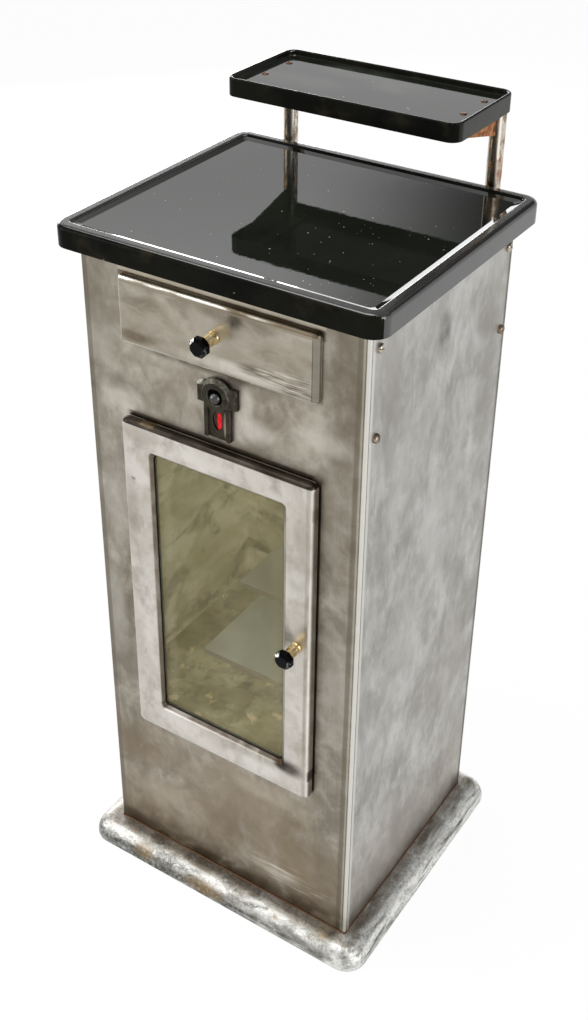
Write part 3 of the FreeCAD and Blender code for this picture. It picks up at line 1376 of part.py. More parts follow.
def make_switch():
    """Switch case behind the panel, with a ball-ended toggle on a cross pin."""
    half_x = "switch_case_width / 2"
    half_z = "switch_case_height / 2"
    case = block("switch_case_blank", (minus(half_x), half_x), (minus("panel_in"), "-panel_in + switch_case_depth"),
                 (f"switch_height - {half_z}", f"switch_height + {half_z}"))
    slot = block("switch_slot", ("-switch_slot_width / 2", "switch_slot_width / 2"),
                 (minus("panel_in + overrun"), "-panel_in + switch_slot_depth"),
                 ("switch_height - switch_slot_height / 2", "switch_height + switch_slot_height / 2"))
    pin_x = "switch_slot_width / 2 + toggle_pin_grip"
    pin_hole = rod("switch_pin_hole", (minus(pin_x), minus("toggle_pivot"), "switch_height"), "+x",
                   "toggle_pin_radius", f"2 * ({pin_x})")
    keep(cut("switch_case_cut", case, [slot, pin_hole]), "switch_case")
    keep(rod("toggle_pin_rod", (minus(pin_x), minus("toggle_pivot"), "switch_height"), "+x",
             "toggle_pin_radius", f"2 * ({pin_x})"), "toggle_pin")
    knob = ball("toggle_ball", ("0", "-toggle_length", "0"), "toggle_ball_radius")
    stem = rod("toggle_stem", ("0", "0", "0"), "-y", "toggle_stem_radius", "toggle_length")
    barrel = rod("toggle_barrel", ("-toggle_barrel_width / 2", "0", "0"), "+x", "toggle_barrel_radius",
                 "toggle_barrel_width")
    bore = rod("toggle_bore", ("-toggle_barrel_width", "0", "0"), "+x", "toggle_pin_radius + toggle_pin_clearance",
               "2 * toggle_barrel_width")
    lever = cut("toggle_bored", fuse("toggle_blank", [knob, stem, barrel]), [bore])
    lever.Placement = FreeCAD.Placement(FreeCAD.Vector(), FreeCAD.Rotation(X, value("toggle_drop")))
    bind(lever, Placement__Base__y=minus("toggle_pivot"), Placement__Base__z="switch_height")
    keep(lever, "toggle_lever")


def make_pilot_lamp():
    """Red glass jewel that fills the plate's window, in a lamp holder with its bulb."""
    shell = rod("lamp_shell", ("0", minus("panel_in"), "window_height"), "+y", "lamp_radius", "lamp_length")
    flange = rod("lamp_flange_disc", ("0", minus("panel_in"), "window_height"), "+y", "lamp_flange_radius",
                 "lamp_flange")
    room = rod("lamp_room", ("0", minus("panel_in + overrun"), "window_height"), "+y", "lamp_radius - lamp_wall",
               "lamp_length - lamp_wall + overrun")
    keep(cut("lamp_holder_bored", fuse("lamp_holder_blank", [shell, flange]), [room]), "lamp_holder")
    front = "half_depth + jewel_proud - jewel_dome"
    stem = rod("jewel_stem", ("0", minus(front), "window_height"), "+y", "jewel_radius", "jewel_length")
    arc = "(jewel_radius * jewel_radius + jewel_dome * jewel_dome) / (2 * jewel_dome)"
    dome = ball("jewel_ball", ("0", minus(f"{front} + jewel_dome - {arc}"), "window_height"), arc)
    sleeve = rod("jewel_sleeve", ("0", minus(front), "window_height"), "-y", "jewel_radius", "2 * jewel_dome")
    cap = common("jewel_dome_cap", dome, sleeve)
    pane = lens("jewel_oval", minus("half_depth + jewel_pane"), "jewel_pane", "fit_gap")
    keep(fuse("jewel_joined", [stem, cap, pane]), "pilot_jewel")
    back = "-panel_in + lamp_length - lamp_wall"
    base = rod("bulb_base", ("0", back, "window_height"), "-y", "bulb_base_radius", "bulb_base_length")
    glass = rod("bulb_glass", ("0", back, "window_height"), "-y", "bulb_radius", "bulb_length - bulb_radius")
    tip = ball("bulb_tip", ("0", f"{back} - bulb_length + bulb_radius", "window_height"), "bulb_radius")
    keep(fuse("bulb_joined", [base, glass, tip]), "pilot_bulb")


def make_inlet():
    """Rubber bush in the back panel where a supply lead would enter, and the terminal block inside."""
    collar = rod("inlet_collar_out", ("inlet_offset", "half_depth", "inlet_height"), "+y", "inlet_collar_radius",
                 "inlet_collar")
    neck = rod("inlet_neck", ("inlet_offset", "half_depth", "inlet_height"), "-y", "inlet_hole_radius", "sheet")
    lock = rod("inlet_collar_in", ("inlet_offset", "panel_in", "inlet_height"), "-y", "inlet_collar_radius",
               "inlet_collar")
    bore = rod("inlet_bore", ("inlet_offset", "half_depth + inlet_collar + overrun", "inlet_height"), "-y",
               "inlet_bore_radius", "sheet + 2 * inlet_collar + 2 * overrun")
    keep(cut("inlet_bored", fuse("inlet_blank", [collar, neck, lock]), [bore]), "cable_grommet")
    strip = block("terminal_blank", ("inlet_offset - terminal_width", "inlet_offset"),
                  ("back_in - terminal_back - terminal_depth", "back_in - terminal_back"),
                  ("ceiling_top", "ceiling_top + terminal_height"))
    wells = []
    for index in range(4):
        wells.append(rod(f"terminal_well_{index}", (
            f"inlet_offset - terminal_width * {2 * index + 1} / 8", "back_in - terminal_back - terminal_depth / 2",
            "ceiling_top + terminal_height / 2"), "+z", "terminal_hole_radius", "terminal_height"))
    keep(cut("terminal_drilled", strip, wells), "terminal_block")


make_plinth()
make_base_plate()
make_front_panel()
make_side_panels()
make_back_panel()
make_inner_decks()
make_drawer_case()
make_wall_screws()
make_enamel_top()
make_door_frame()
make_glazing()
make_hinges()
make_catch()
make_bumpers()
make_knob("door", "door_knob_x", "door_face", "door_inner", "door_knob_height")
make_drawer()
make_knob("drawer", "0", "drawer_face", "drawer_inner - drawer_sheet", "drawer_knob_height")
make_runners()
make_drawer_stop()
make_inner_shelves()
make_posts()
make_upper_shelf()
make_brackets()
make_escutcheon()
make_switch()
make_pilot_lamp()
make_inlet()
doc.recompute()

for thing in doc.Objects:
    if "Invalid" in thing.State or "Error" in thing.State:
        raise ValueError(f"{thing.Name} failed: {thing.State}")
for node in NODES:
    if node.Shape.isNull() or not node.Shape.isValid():
        raise ValueError(f"{node.Label} has no valid shape")

os.makedirs("parts", exist_ok=True)
for node in NODES:
    node.Shape.exportStep(f"parts/{node.Label}.step")
print(f"{len(NODES)} sub-parts written")
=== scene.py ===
import json
import math

import bmesh
import bpy
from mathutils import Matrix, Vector


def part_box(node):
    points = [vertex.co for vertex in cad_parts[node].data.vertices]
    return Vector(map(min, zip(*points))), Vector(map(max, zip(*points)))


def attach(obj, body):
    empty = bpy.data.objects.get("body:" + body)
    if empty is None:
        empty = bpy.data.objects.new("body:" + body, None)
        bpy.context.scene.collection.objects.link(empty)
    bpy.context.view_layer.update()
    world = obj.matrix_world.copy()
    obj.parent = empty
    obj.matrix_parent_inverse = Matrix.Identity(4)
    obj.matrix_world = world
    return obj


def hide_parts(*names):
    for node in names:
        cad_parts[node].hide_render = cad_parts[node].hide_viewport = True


# Old steel medical cabinet with a glazed door, a drawer, a switch plate and two enamelled tops.
# Metres, +Z up, the front faces -Y and the door hangs on its -X side.

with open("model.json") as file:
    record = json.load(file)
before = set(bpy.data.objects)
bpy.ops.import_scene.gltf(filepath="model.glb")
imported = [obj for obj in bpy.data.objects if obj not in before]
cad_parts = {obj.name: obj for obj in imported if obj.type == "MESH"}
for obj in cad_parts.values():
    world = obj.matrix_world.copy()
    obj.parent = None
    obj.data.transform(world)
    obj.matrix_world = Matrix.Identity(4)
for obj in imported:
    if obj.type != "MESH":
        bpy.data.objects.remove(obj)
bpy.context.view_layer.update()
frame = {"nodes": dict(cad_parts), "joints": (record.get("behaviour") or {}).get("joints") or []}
nodes = frame["nodes"]


# Hands: picking up, choosing and shaping

def let_go():
    """Leave edit mode with nothing selected."""
    if bpy.context.object and bpy.context.object.mode != "OBJECT":
        bpy.ops.object.mode_set(mode="OBJECT")
    bpy.ops.object.select_all(action="DESELECT")


def pick_up(thing):
    let_go()
    thing.select_set(True)
    bpy.context.view_layer.objects.active = thing


def settle(thing):
    """Put a piece's place, turn and size into its mesh."""
    pick_up(thing)
    bpy.ops.object.transform_apply(location=True, rotation=True, scale=True)


def name_it(name):
    """Settle the object just added, under its own name."""
    thing = bpy.context.object
    thing.name = thing.data.name = name
    settle(thing)
    return thing


def open_up(thing, kind="EDGE"):
    pick_up(thing)
    bpy.ops.object.mode_set(mode="EDIT")
    bpy.ops.mesh.select_mode(type=kind)


def choose(kind, test):
    """In edit mode, select the faces or edges that pass a test, and nothing else."""
    bpy.ops.mesh.select_all(action="DESELECT")
    data = bpy.context.object.data
    chosen = [item for item in getattr(bmesh.from_edit_mesh(data), kind) if test(item)]
    if not chosen:
        raise ValueError(f"nothing chosen on {data.name}")
    for item in chosen:
        item.select_set(True)
    bmesh.update_edit_mesh(data)


def middle(edge):
    return (edge.verts[0].co + edge.verts[1].co) / 2


def upright(edge):
    way = edge.verts[1].co - edge.verts[0].co
    return abs(way.z) > 0.999 * way.length


def lying(axis, height, *tests):
    """A test for edges that lie wholly at one height along an axis and pass the other tests."""
    return lambda edge: (all(abs(vert.co[axis] - height) < 2e-5 for vert in edge.verts)
                         and all(test(edge) for test in tests))


def beside_wall(edge, axis=2, most=0.1):
    """True for an edge with a face next to it that stands along an axis."""
    return any(abs(face.normal[axis]) < most for face in edge.link_faces)


def facing_up(face):
    return face.normal.z > 0.99


def facing_down(face):
    return face.normal.z < -0.99


def soften(width, steps):
    """Round over the chosen edges."""
    bpy.ops.mesh.bevel(offset=width, offset_type="OFFSET", segments=steps, profile=0.5, affect="EDGES",
                       clamp_overlap=False)


def ease(test, width, steps):
    choose("edges", test)
    soften(width, steps)


def push(rise):
    """Extrude the chosen faces up or down."""
    bpy.ops.mesh.extrude_region_move(TRANSFORM_OT_translate={"value": (0, 0, rise)})


def inset(width):
    bpy.ops.mesh.inset(thickness=width, use_even_offset=True)


def hollow(test, *steps):
    """Sink the faces that pass a test: each step is the border left standing, and how far it moves."""
    choose("faces", test)
    for border, rise in steps:
        inset(border)
        push(rise)


def draw_out(depth):
    """Extrude the chosen edges backwards."""
    bpy.ops.mesh.extrude_edges_move(TRANSFORM_OT_translate={"value": (0, depth, 0)})


def turn_outwards():
    bpy.ops.mesh.select_all(action="SELECT")
    bpy.ops.mesh.normals_make_consistent(inside=False)


def treat(thing, kind, **settings):
    """Give a piece one modifier and apply it."""
    pick_up(thing)
    bpy.ops.object.modifier_add(type=kind)
    added = thing.modifiers[-1]
    for name, setting in settings.items():
        setattr(added, name, setting)
    bpy.ops.object.modifier_apply(modifier=added.name)


def rub_smooth(thing, angle=32):
    """Smooth shading over the bends, with the flats kept flat."""
    pick_up(thing)
    bpy.ops.object.shade_smooth_by_angle(angle=math.radians(angle))
    treat(thing, "WEIGHTED_NORMAL", keep_sharp=True)


def block(name, low, high):
    """A plain blank between two corners, ready to be shaped."""
    let_go()
    low, high = Vector(low), Vector(high)
    bpy.ops.mesh.primitive_cube_add(size=1, location=(low + high) / 2)
    bpy.context.object.scale = high - low
    return name_it(name)


def join(name, things):
    let_go()
    for thing in things:
        thing.select_set(True)
    bpy.context.view_layer.objects.active = things[0]
    bpy.ops.object.join()
    things[0].name = things[0].data.name = name
    return things[0]


RIGHT_ANGLE = math.pi / 2
TURNS = {"-y": (RIGHT_ANGLE, 0, 0), "+x": (0, RIGHT_ANGLE, 0), "-x": (0, -RIGHT_ANGLE, 0), "+z": (0, 0, 0),
         "-z": (math.pi, 0, 0)}


def turned(name, start, way, steps, sides):
    """A turned piece: each step is how far along the axis, and the radius there."""
    here, radius = steps[0]
    let_go()
    bpy.ops.mesh.primitive_circle_add(vertices=sides, radius=radius, fill_type="NGON", location=(0, 0, 0))
    thing = bpy.context.object
    open_up(thing, "FACE")
    bpy.ops.mesh.select_all(action="SELECT")
    bpy.ops.transform.translate(value=(0, 0, here))
    for there, wide in steps[1:]:
        push(there - here)
        bpy.ops.transform.resize(value=(wide / radius, wide / radius, 1), center_override=(0, 0, there))
        here, radius = there, wide
    turn_outwards()
    thing.rotation_euler = TURNS[way]
    thing.location = start
    return name_it(name)


# Mixing board: short words for shader nodes

def tone(colour):
    """A colour of three parts, 0 to 255 as on a screen, in linear light. Four parts are linear already."""
    if len(colour) == 4:
        return colour
    parts = [part / 255 for part in colour]
    return [part / 12.92 if part <= 0.04045 else ((part + 0.055) / 1.055) ** 2.4 for part in parts] + [1]


def feed(tree, value, socket):
    if isinstance(value, bpy.types.NodeSocket):
        tree.links.new(value, socket)
    else:
        socket.default_value = value


def put(tree, kind, **settings):
    """Add a node. Settings are its own properties, or its sockets where the name is a socket's."""
    made = tree.nodes.new(kind)
    for name, setting in settings.items():
        if hasattr(made, name):
            setattr(made, name, setting)
        else:
            label = name.replace("_", " ").lower()
            feed(tree, setting, next(item for item in made.inputs if item.name.lower() == label and item.enabled))
    return made


def sum_up(tree, operation, first, *others, clamp=False):
    """Arithmetic on values, from left to right."""
    for other in others or (0.0,):
        made = put(tree, "ShaderNodeMath", operation=operation, use_clamp=clamp)
        feed(tree, first, made.inputs[0])
        feed(tree, other, made.inputs[1])
        first = made.outputs[0]
    return first


def on_places(tree, operation, first, second):
    """Arithmetic on two places or directions."""
    made = put(tree, "ShaderNodeVectorMath", operation=operation)
    feed(tree, first, made.inputs[0])
    feed(tree, second, made.inputs[1])
    return made.outputs


def ramp(tree, value, low, high, first=0.0, last=1.0):
    """A value from low to high, eased into first to last."""
    made = put(tree, "ShaderNodeMapRange", interpolation_type="SMOOTHSTEP", clamp=True)
    for entry, socket in zip((value, low, high, first, last), made.inputs):
        feed(tree, entry, socket)
    return made.outputs[0]


def blend(tree, mask, first, second, mode="MIX"):
    """Second colour over the first where the mask is 1."""
    made = put(tree, "ShaderNodeMix", data_type="RGBA", blend_type=mode)
    for entry, index in ((mask, 0), (first, 6), (second, 7)):
        feed(tree, entry, made.inputs[index])
    return made.outputs[2]


def new_group(name, output, **inputs):
    """An empty shader node group: its output's name, and its inputs with their first values."""
    group = bpy.data.node_groups.new(name, "ShaderNodeTree")
    for label, start in inputs.items():
        kind = "NodeSocketVector" if isinstance(start, tuple) else "NodeSocketFloat"
        group.interface.new_socket(label, in_out="INPUT", socket_type=kind).default_value = start
    group.interface.new_socket(output, in_out="OUTPUT", socket_type="NodeSocketFloat")
    return group, group.nodes.new("NodeGroupInput").outputs, group.nodes.new("NodeGroupOutput").inputs[0]


def use(tree, group, **values):
    """Place a shared group, with its own values."""
    made = tree.nodes.new("ShaderNodeGroup")
    made.node_tree = group
    for label, value in values.items():
        feed(tree, value, made.inputs[label])
    return made.outputs[0]


ORIGIN = (0, 0, 0)
EVEN = (1, 1, 1)
NOISE_SPAN = 0.36  # how far the noise's cut drops as Amount goes from 0 to 1


def make_smudges():
    """Soft wandering patches: more of them as Amount rises."""
    group, given, mask = new_group("smudges", "Mask", Place=ORIGIN, Scale=8.0, Stretch=EVEN, Amount=0.5,
                                   Softness=0.15, Warp=0.6, Seed=0.0)
    scaled = on_places(group, "MULTIPLY", given["Place"], given["Stretch"])[0]
    grain = put(group, "ShaderNodeTexNoise", noise_dimensions="4D", Vector=scaled, W=given["Seed"],
                Scale=given["Scale"], Detail=5.0, Roughness=0.58, Distortion=given["Warp"])
    cut = sum_up(group, "SUBTRACT", 0.68, sum_up(group, "MULTIPLY", given["Amount"], NOISE_SPAN))
    low = sum_up(group, "SUBTRACT", cut, given["Softness"])
    high = sum_up(group, "ADD", cut, given["Softness"])
    feed(group, ramp(group, grain.outputs[0], low, high), mask)
    return group


def make_brushing():
    """Fine parallel wire-brush lines. Grain says how close they lie along each axis."""
    group, given, lines = new_group("brushing", "Lines", Place=ORIGIN, Grain=(600, 600, 30), Wander=0.004)
    drift = put(group, "ShaderNodeTexNoise", Vector=given["Place"], Scale=9.0, Detail=2.0)
    pull = put(group, "ShaderNodeVectorMath", operation="SCALE", Vector=drift.outputs[1], Scale=given["Wander"])
    moved = on_places(group, "ADD", given["Place"], pull.outputs[0])[0]
    drawn = put(group, "ShaderNodeMapping", Vector=moved, Scale=given["Grain"])
    noise = put(group, "ShaderNodeTexNoise", Vector=drawn.outputs[0], Scale=1.0, Detail=4.0, Roughness=0.65)
    feed(group, noise.outputs[0], lines)
    return group


def make_strokes():
    """Separate rubbing strokes that fade out at both ends."""
    group, given, mask = new_group("strokes", "Mask", Place=ORIGIN, Grain=(60, 60, 10), Turn=ORIGIN, Amount=0.35,
                                   Seed=0.0)
    drawn = put(group, "ShaderNodeMapping", Vector=given["Place"], Rotation=given["Turn"], Scale=given["Grain"])
    grain = put(group, "ShaderNodeTexNoise", noise_dimensions="4D", Vector=drawn.outputs[0], W=given["Seed"],
                Scale=1.0, Detail=3.0, Roughness=0.5, Distortion=0.4)
    cut = sum_up(group, "SUBTRACT", 0.66, sum_up(group, "MULTIPLY", given["Amount"], NOISE_SPAN))
    feed(group, ramp(group, grain.outputs[0], cut, sum_up(group, "ADD", cut, 0.16)), mask)
    return group


def make_specks():
    """Small scattered dots, such as dust or pits."""
    group, given, mask = new_group("specks", "Mask", Place=ORIGIN, Scale=300.0, Size=0.12, Share=0.1)
    cells = put(group, "ShaderNodeTexVoronoi", Vector=given["Place"], Scale=given["Scale"])
    dot = ramp(group, cells.outputs["Distance"], given["Size"], sum_up(group, "MULTIPLY", given["Size"], 0.4))
    tint = put(group, "ShaderNodeSeparateColor", Color=cells.outputs["Color"])
    kept = sum_up(group, "LESS_THAN", tint.outputs[0], given["Share"])
    feed(group, sum_up(group, "MULTIPLY", dot, kept), mask)
    return group


def make_band():
    """1 between Low and High along Value, with soft ends."""
    group, given, mask = new_group("band", "Mask", Value=0.0, Low=0.0, High=1.0, Soft=0.005)
    ends = []
    for end, first, last in (("Low", 0.0, 1.0), ("High", 1.0, 0.0)):
        before, after = (sum_up(group, sign, given[end], given["Soft"]) for sign in ("SUBTRACT", "ADD"))
        ends.append(ramp(group, given["Value"], before, after, first, last))
    feed(group, sum_up(group, "MULTIPLY", *ends), mask)
    return group


def make_spot():
    """1 inside an ellipsoid, fading to 0 outside it."""
    group, given, mask = new_group("spot", "Mask", Place=ORIGIN, Centre=ORIGIN, Reach=(0.05, 0.05, 0.05), Fade=0.5)
    away = on_places(group, "SUBTRACT", given["Place"], given["Centre"])[0]
    scaled = on_places(group, "DIVIDE", away, given["Reach"])[0]
    far = on_places(group, "LENGTH", scaled, ORIGIN)[1]
    low = sum_up(group, "SUBTRACT", 1.0, given["Fade"])
    high = sum_up(group, "ADD", 1.0, given["Fade"])
    feed(group, ramp(group, far, low, high, 1.0, 0.0), mask)
    return group


SMUDGES = make_smudges()
BRUSHING = make_brushing()
STROKES = make_strokes()
SPECKS = make_specks()
BAND = make_band()
SPOT = make_spot()


class Finish:
    """One material being mixed: its place, its shader, and the colour laid on so far."""

    def __init__(self, name, colour, **shader):
        self.material = bpy.data.materials.new(name)
        self.material.use_nodes = True
        self.tree = self.material.node_tree
        self.shader = self.tree.nodes["Principled BSDF"]
        for label, value in shader.items():
            self.shader.inputs[label.replace("_", " ")].default_value = value
        self.place = put(self.tree, "ShaderNodeTexCoord").outputs["Object"]
        self.x, self.y, self.z = put(self.tree, "ShaderNodeSeparateXYZ", Vector=self.place).outputs
        self.colour = tone(colour)
        self.rough = shader["Roughness"]
        self.height = self.grain = None

    def smudges(self, scale, amount, softness, warp, seed=0.0, stretch=EVEN):
        return use(self.tree, SMUDGES, Place=self.place, Scale=scale, Amount=amount, Softness=softness, Warp=warp,
                   Stretch=stretch, Seed=seed)

    def brushing(self, grain):
        return use(self.tree, BRUSHING, Place=self.place, Grain=grain)

    def strokes(self, grain, turn, amount, seed=0.0):
        """Turn is in degrees about each axis."""
        return use(self.tree, STROKES, Place=self.place, Grain=grain, Turn=[math.radians(part) for part in turn],
                   Amount=amount, Seed=seed)

    def specks(self, scale, size, share):
        return use(self.tree, SPECKS, Place=self.place, Scale=scale, Size=size, Share=share)

    def band(self, value, low, high, soft):
        return use(self.tree, BAND, Value=value, Low=low, High=high, Soft=soft)

    def spot(self, centre, reach, fade):
        return use(self.tree, SPOT, Place=self.place, Centre=centre, Reach=reach, Fade=fade)

    def facing(self, axis):
        """How far the surface faces along one axis, either way."""
        normal = put(self.tree, "ShaderNodeNewGeometry").outputs["Normal"]
        turn = put(self.tree, "ShaderNodeSeparateXYZ", Vector=normal)
        return sum_up(self.tree, "ABSOLUTE", turn.outputs[axis])

    def toward(self, direction, low, high):
        """A mask that grows as the surface turns toward a direction."""
        normal = put(self.tree, "ShaderNodeNewGeometry").outputs["Normal"]
        return ramp(self.tree, on_places(self.tree, "DOT_PRODUCT", normal, direction)[1], low, high)

    def times(self, *masks):
        return sum_up(self.tree, "MULTIPLY", *masks)

    def most(self, *masks):
        return sum_up(self.tree, "MAXIMUM", *masks)

    def lay(self, mask, colour, strength=1.0):
        """Lay a colour over what is there, where the mask says."""
        if strength != 1.0:
            mask = self.times(mask, strength)
        self.colour = blend(self.tree, mask, self.colour, tone(colour))

    def cloud(self, colour, strength, *patch, within=None):
        """Smudges of a colour, kept inside a mask if one is given."""
        mask = self.smudges(*patch)
        self.lay(mask if within is None else self.times(within, mask), colour, strength)

    def mark(self, centre, reach, colour, strength, fade=0.6):
        """A patch of colour that is soft round its edge and broken up by the surface's own grain; it lays stains, and
        painted shade and highlights too.
        """
        if self.grain is None:
            self.grain = self.smudges(34, 0.8, 0.22, 0.6, 11.0)
        self.lay(self.times(self.spot(centre, reach, fade), self.grain), colour, strength)

    def marks(self, axis, at, deep, rows):
        """Patches on the face at one place along an axis: centre and reach in mm, colour and strength."""
        for *spread, colour, strength in rows:
            across, up, wide, tall = (part / 1000 for part in spread)
            centre, reach = [across, up], [wide, tall]
            centre.insert(axis, at)
            reach.insert(axis, deep)
            self.mark(centre, reach, colour, strength)

    def line(self, value, edge, low, high, colour, strength, soft, within=None):
        """A thin band from low to high, in mm past an edge, kept inside a mask if one is given."""
        mask = self.band(value, edge + low / 1000, edge + high / 1000, soft / 1000)
        self.lay(mask if within is None else self.times(mask, within), colour, strength)

    def shade(self, mask, factor):
        """Darken or lighten what is there, where the mask says."""
        self.colour = blend(self.tree, mask, self.colour, [factor, factor, factor, 1], "MULTIPLY")

    def glow(self):
        """Lets the surface's own colour stand for the light that bounces about inside the cupboard."""
        feed(self.tree, self.colour, self.shader.inputs["Emission Color"])

    def roughen(self, mask, rough):
        made = put(self.tree, "ShaderNodeMix", data_type="FLOAT")
        for entry, index in ((mask, 0), (self.rough, 2), (rough, 3)):
            feed(self.tree, entry, made.inputs[index])
        self.rough = made.outputs[0]

    def raise_by(self, mask, amount):
        step = self.times(mask, amount)
        self.height = step if self.height is None else sum_up(self.tree, "ADD", self.height, step)

    def brush(self, grain, factor, patch, rough, depth):
        """Brushed lines all over, and duller patches."""
        lines = self.brushing(grain)
        self.shade(lines, factor)
        self.roughen(self.smudges(*patch), rough)
        self.raise_by(lines, depth)

    def done(self, strength=1.0, distance=0.001):
        feed(self.tree, self.colour, self.shader.inputs["Base Color"])
        feed(self.tree, self.rough, self.shader.inputs["Roughness"])
        if self.height is not None:
            bump = put(self.tree, "ShaderNodeBump", Height=self.height, Strength=strength, Distance=distance)
            feed(self.tree, bump.outputs[0], self.shader.inputs["Normal"])
        return self.material


# Finishes. A cloud is a colour, its strength, and the scale, amount, softness, warp, seed and stretch of
# its smudges.

SEAM_RUST = ((66, 44, 24), 0.95, 60, 0.8, 0.2, 0.6)
SHEET_BUMP = (0.35, 0.0004)


def finish_front_steel():
    """Bare front sheet: warm grey-brown, cloudy, wiped by hand, stained brown at the foot."""
    steel = Finish("front_steel", (170, 163, 150), Metallic=1.0, Roughness=0.34)
    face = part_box("front_panel")[0].y
    for cloud in (((144, 135, 119), 1.0, 6, 0.5, 0.12, 0.3),
                  ((202, 196, 184), 0.6, 13, 0.36, 0.1, 0.5, 3.1, (1, 1, 0.8)),
                  ((104, 96, 82), 0.5, 24, 0.34, 0.1, 0.5, 7.7, (1, 1, 0.6)),
                  ((134, 126, 111), 0.5, 60, 0.4, 0.2, 0.9, 6.6, (1, 1, 0.8)),
                  ((198, 191, 179), 0.6, 40, 0.28, 0.16, 0.9, 9.6, (1, 1, 0.7)),
                  ((120, 111, 95), 0.5, 30, 0.34, 0.14, 0.9, 13.0, (0.7, 1, 1))):
        steel.cloud(*cloud)
    steel.cloud((108, 103, 93), 0.45, 24, 0.5, 0.12, 0.6, 5.0, (1.6, 1, 0.6),
                within=steel.band(steel.x, -0.2, -0.135, 0.014))
    steel.cloud((132, 115, 92), 0.75, 9, 0.65, 0.2, 0.5, 2.2, within=steel.band(steel.z, 0.0, 0.2, 0.08))
    steel.cloud((74, 58, 40), 0.85, 14, 0.5, 0.1, 0.6, 9.0, (1, 1, 1.6),
                within=steel.band(steel.z, 0.0, 0.055, 0.022))
    steel.marks(1, face, 0.03, (
        (-160, 838, 26, 60, (122, 115, 99), 0.6), (156, 800, 24, 90, (116, 106, 88), 0.65),
        (152, 655, 18, 90, (142, 134, 119), 0.5), (30, 722, 34, 14, (216, 211, 202), 0.7),
        (132, 738, 34, 12, (210, 204, 193), 0.6), (22, 776, 14, 13, (62, 56, 46), 0.7),
        (34, 752, 9, 18, (220, 214, 204), 0.6), (-137, 702, 28, 18, (208, 202, 191), 0.7),
        (-150, 570, 16, 60, (186, 181, 172), 0.6), (-162, 400, 14, 70, (182, 178, 168), 0.6),
        (152, 420, 18, 70, (176, 171, 160), 0.6), (-90, 110, 50, 30, (182, 172, 155), 0.6),
        (20, 180, 70, 40, (150, 137, 116), 0.6), (100, 105, 50, 30, (140, 126, 104), 0.6),
        (60, 205, 50, 12, (188, 179, 163), 0.5), (-160, 760, 16, 40, (176, 170, 158), 0.6),
        (75, 75, 30, 10, (206, 198, 184), 0.5)))
    scratched = steel.spot((0.088, face, 0.078), (0.055, 0.03, 0.016), 0.4)
    steel.lay(steel.times(scratched, steel.strokes((16, 60, 420), (0, -9, 0), 0.4, 5.0)), (228, 220, 204), 0.7)
    low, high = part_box("door_frame")
    beside = steel.band(steel.z, low.z + 0.004, high.z - 0.004, 0.005)
    across = steel.band(steel.x, low.x + 0.003, high.x - 0.006, 0.005)
    # Painted shade on the panel round the door: a dark line down its right side, a darker band over its top and a
    # dimmer one under its foot.
    steel.line(steel.x, high.x, -10, 1.6, (46, 38, 28), 0.8, 0.8, beside)
    steel.line(steel.z, high.z, -10, 4.6, (54, 47, 37), 0.85, 1.6, across)
    steel.line(steel.z, low.z, -3.5, 10, (84, 76, 62), 0.7, 1.2, across)
    low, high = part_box("drawer_front")
    beside = steel.band(steel.z, low.z, high.z + 0.002, 0.002)
    across = steel.band(steel.x, low.x - 0.003, high.x + 0.003, 0.002)
    # Round the drawer: a paler band above it, then painted shade in the gap along its top and down its right side.
    steel.line(steel.z, high.z, 2, 7, (196, 187, 168), 0.6, 0.8, across)
    steel.line(steel.z, high.z, -10, 1.2, (96, 84, 68), 0.8, 0.6, across)
    steel.line(steel.x, high.x, -10, 1.6, (96, 86, 72), 0.6, 0.8, beside)
    # Painted shade under the drawer, broken up into smudges.
    under = steel.times(steel.band(steel.z, low.z - 0.007, low.z + 0.01, 0.003),
                        steel.band(steel.x, -0.095, 0.075, 0.03))
    steel.cloud((84, 76, 64), 0.75, 30, 0.7, 0.2, 0.5, 4.0, (1, 1, 2), within=under)
    # Towards the right corner: a darker band, a paler band, painted shade in the seam groove and a painted highlight
    # on the rounded corner; a darker band along the left edge.
    for line in ((164, 170, (112, 103, 87), 0.6, 1.2), (170.6, 172.8, (190, 184, 172), 0.5, 0.8),
                 (172.8, 173.8, (104, 96, 82), 0.7, 0.3), (174.4, 180, (228, 226, 219), 0.85, 0.5),
                 (-176.5, -170, (100, 94, 83), 0.5, 1)):
        steel.line(steel.x, 0, *line)
    steel.cloud(*SEAM_RUST, within=steel.band(steel.z, 0.0, 0.0305, 0.0016))
    steel.brush((900, 900, 60), 0.84, (22, 0.5, 0.16, 0.6, 4.4), 0.46, 0.35)
    edge = steel.band(steel.x, 0.128, 0.172, 0.006)
    steel.shade(steel.times(edge, steel.brushing((420, 400, 6))), 0.8)
    steel.raise_by(steel.smudges(9, 0.5, 0.3, 0.3), 0.6)
    return steel.done(*SHEET_BUMP)


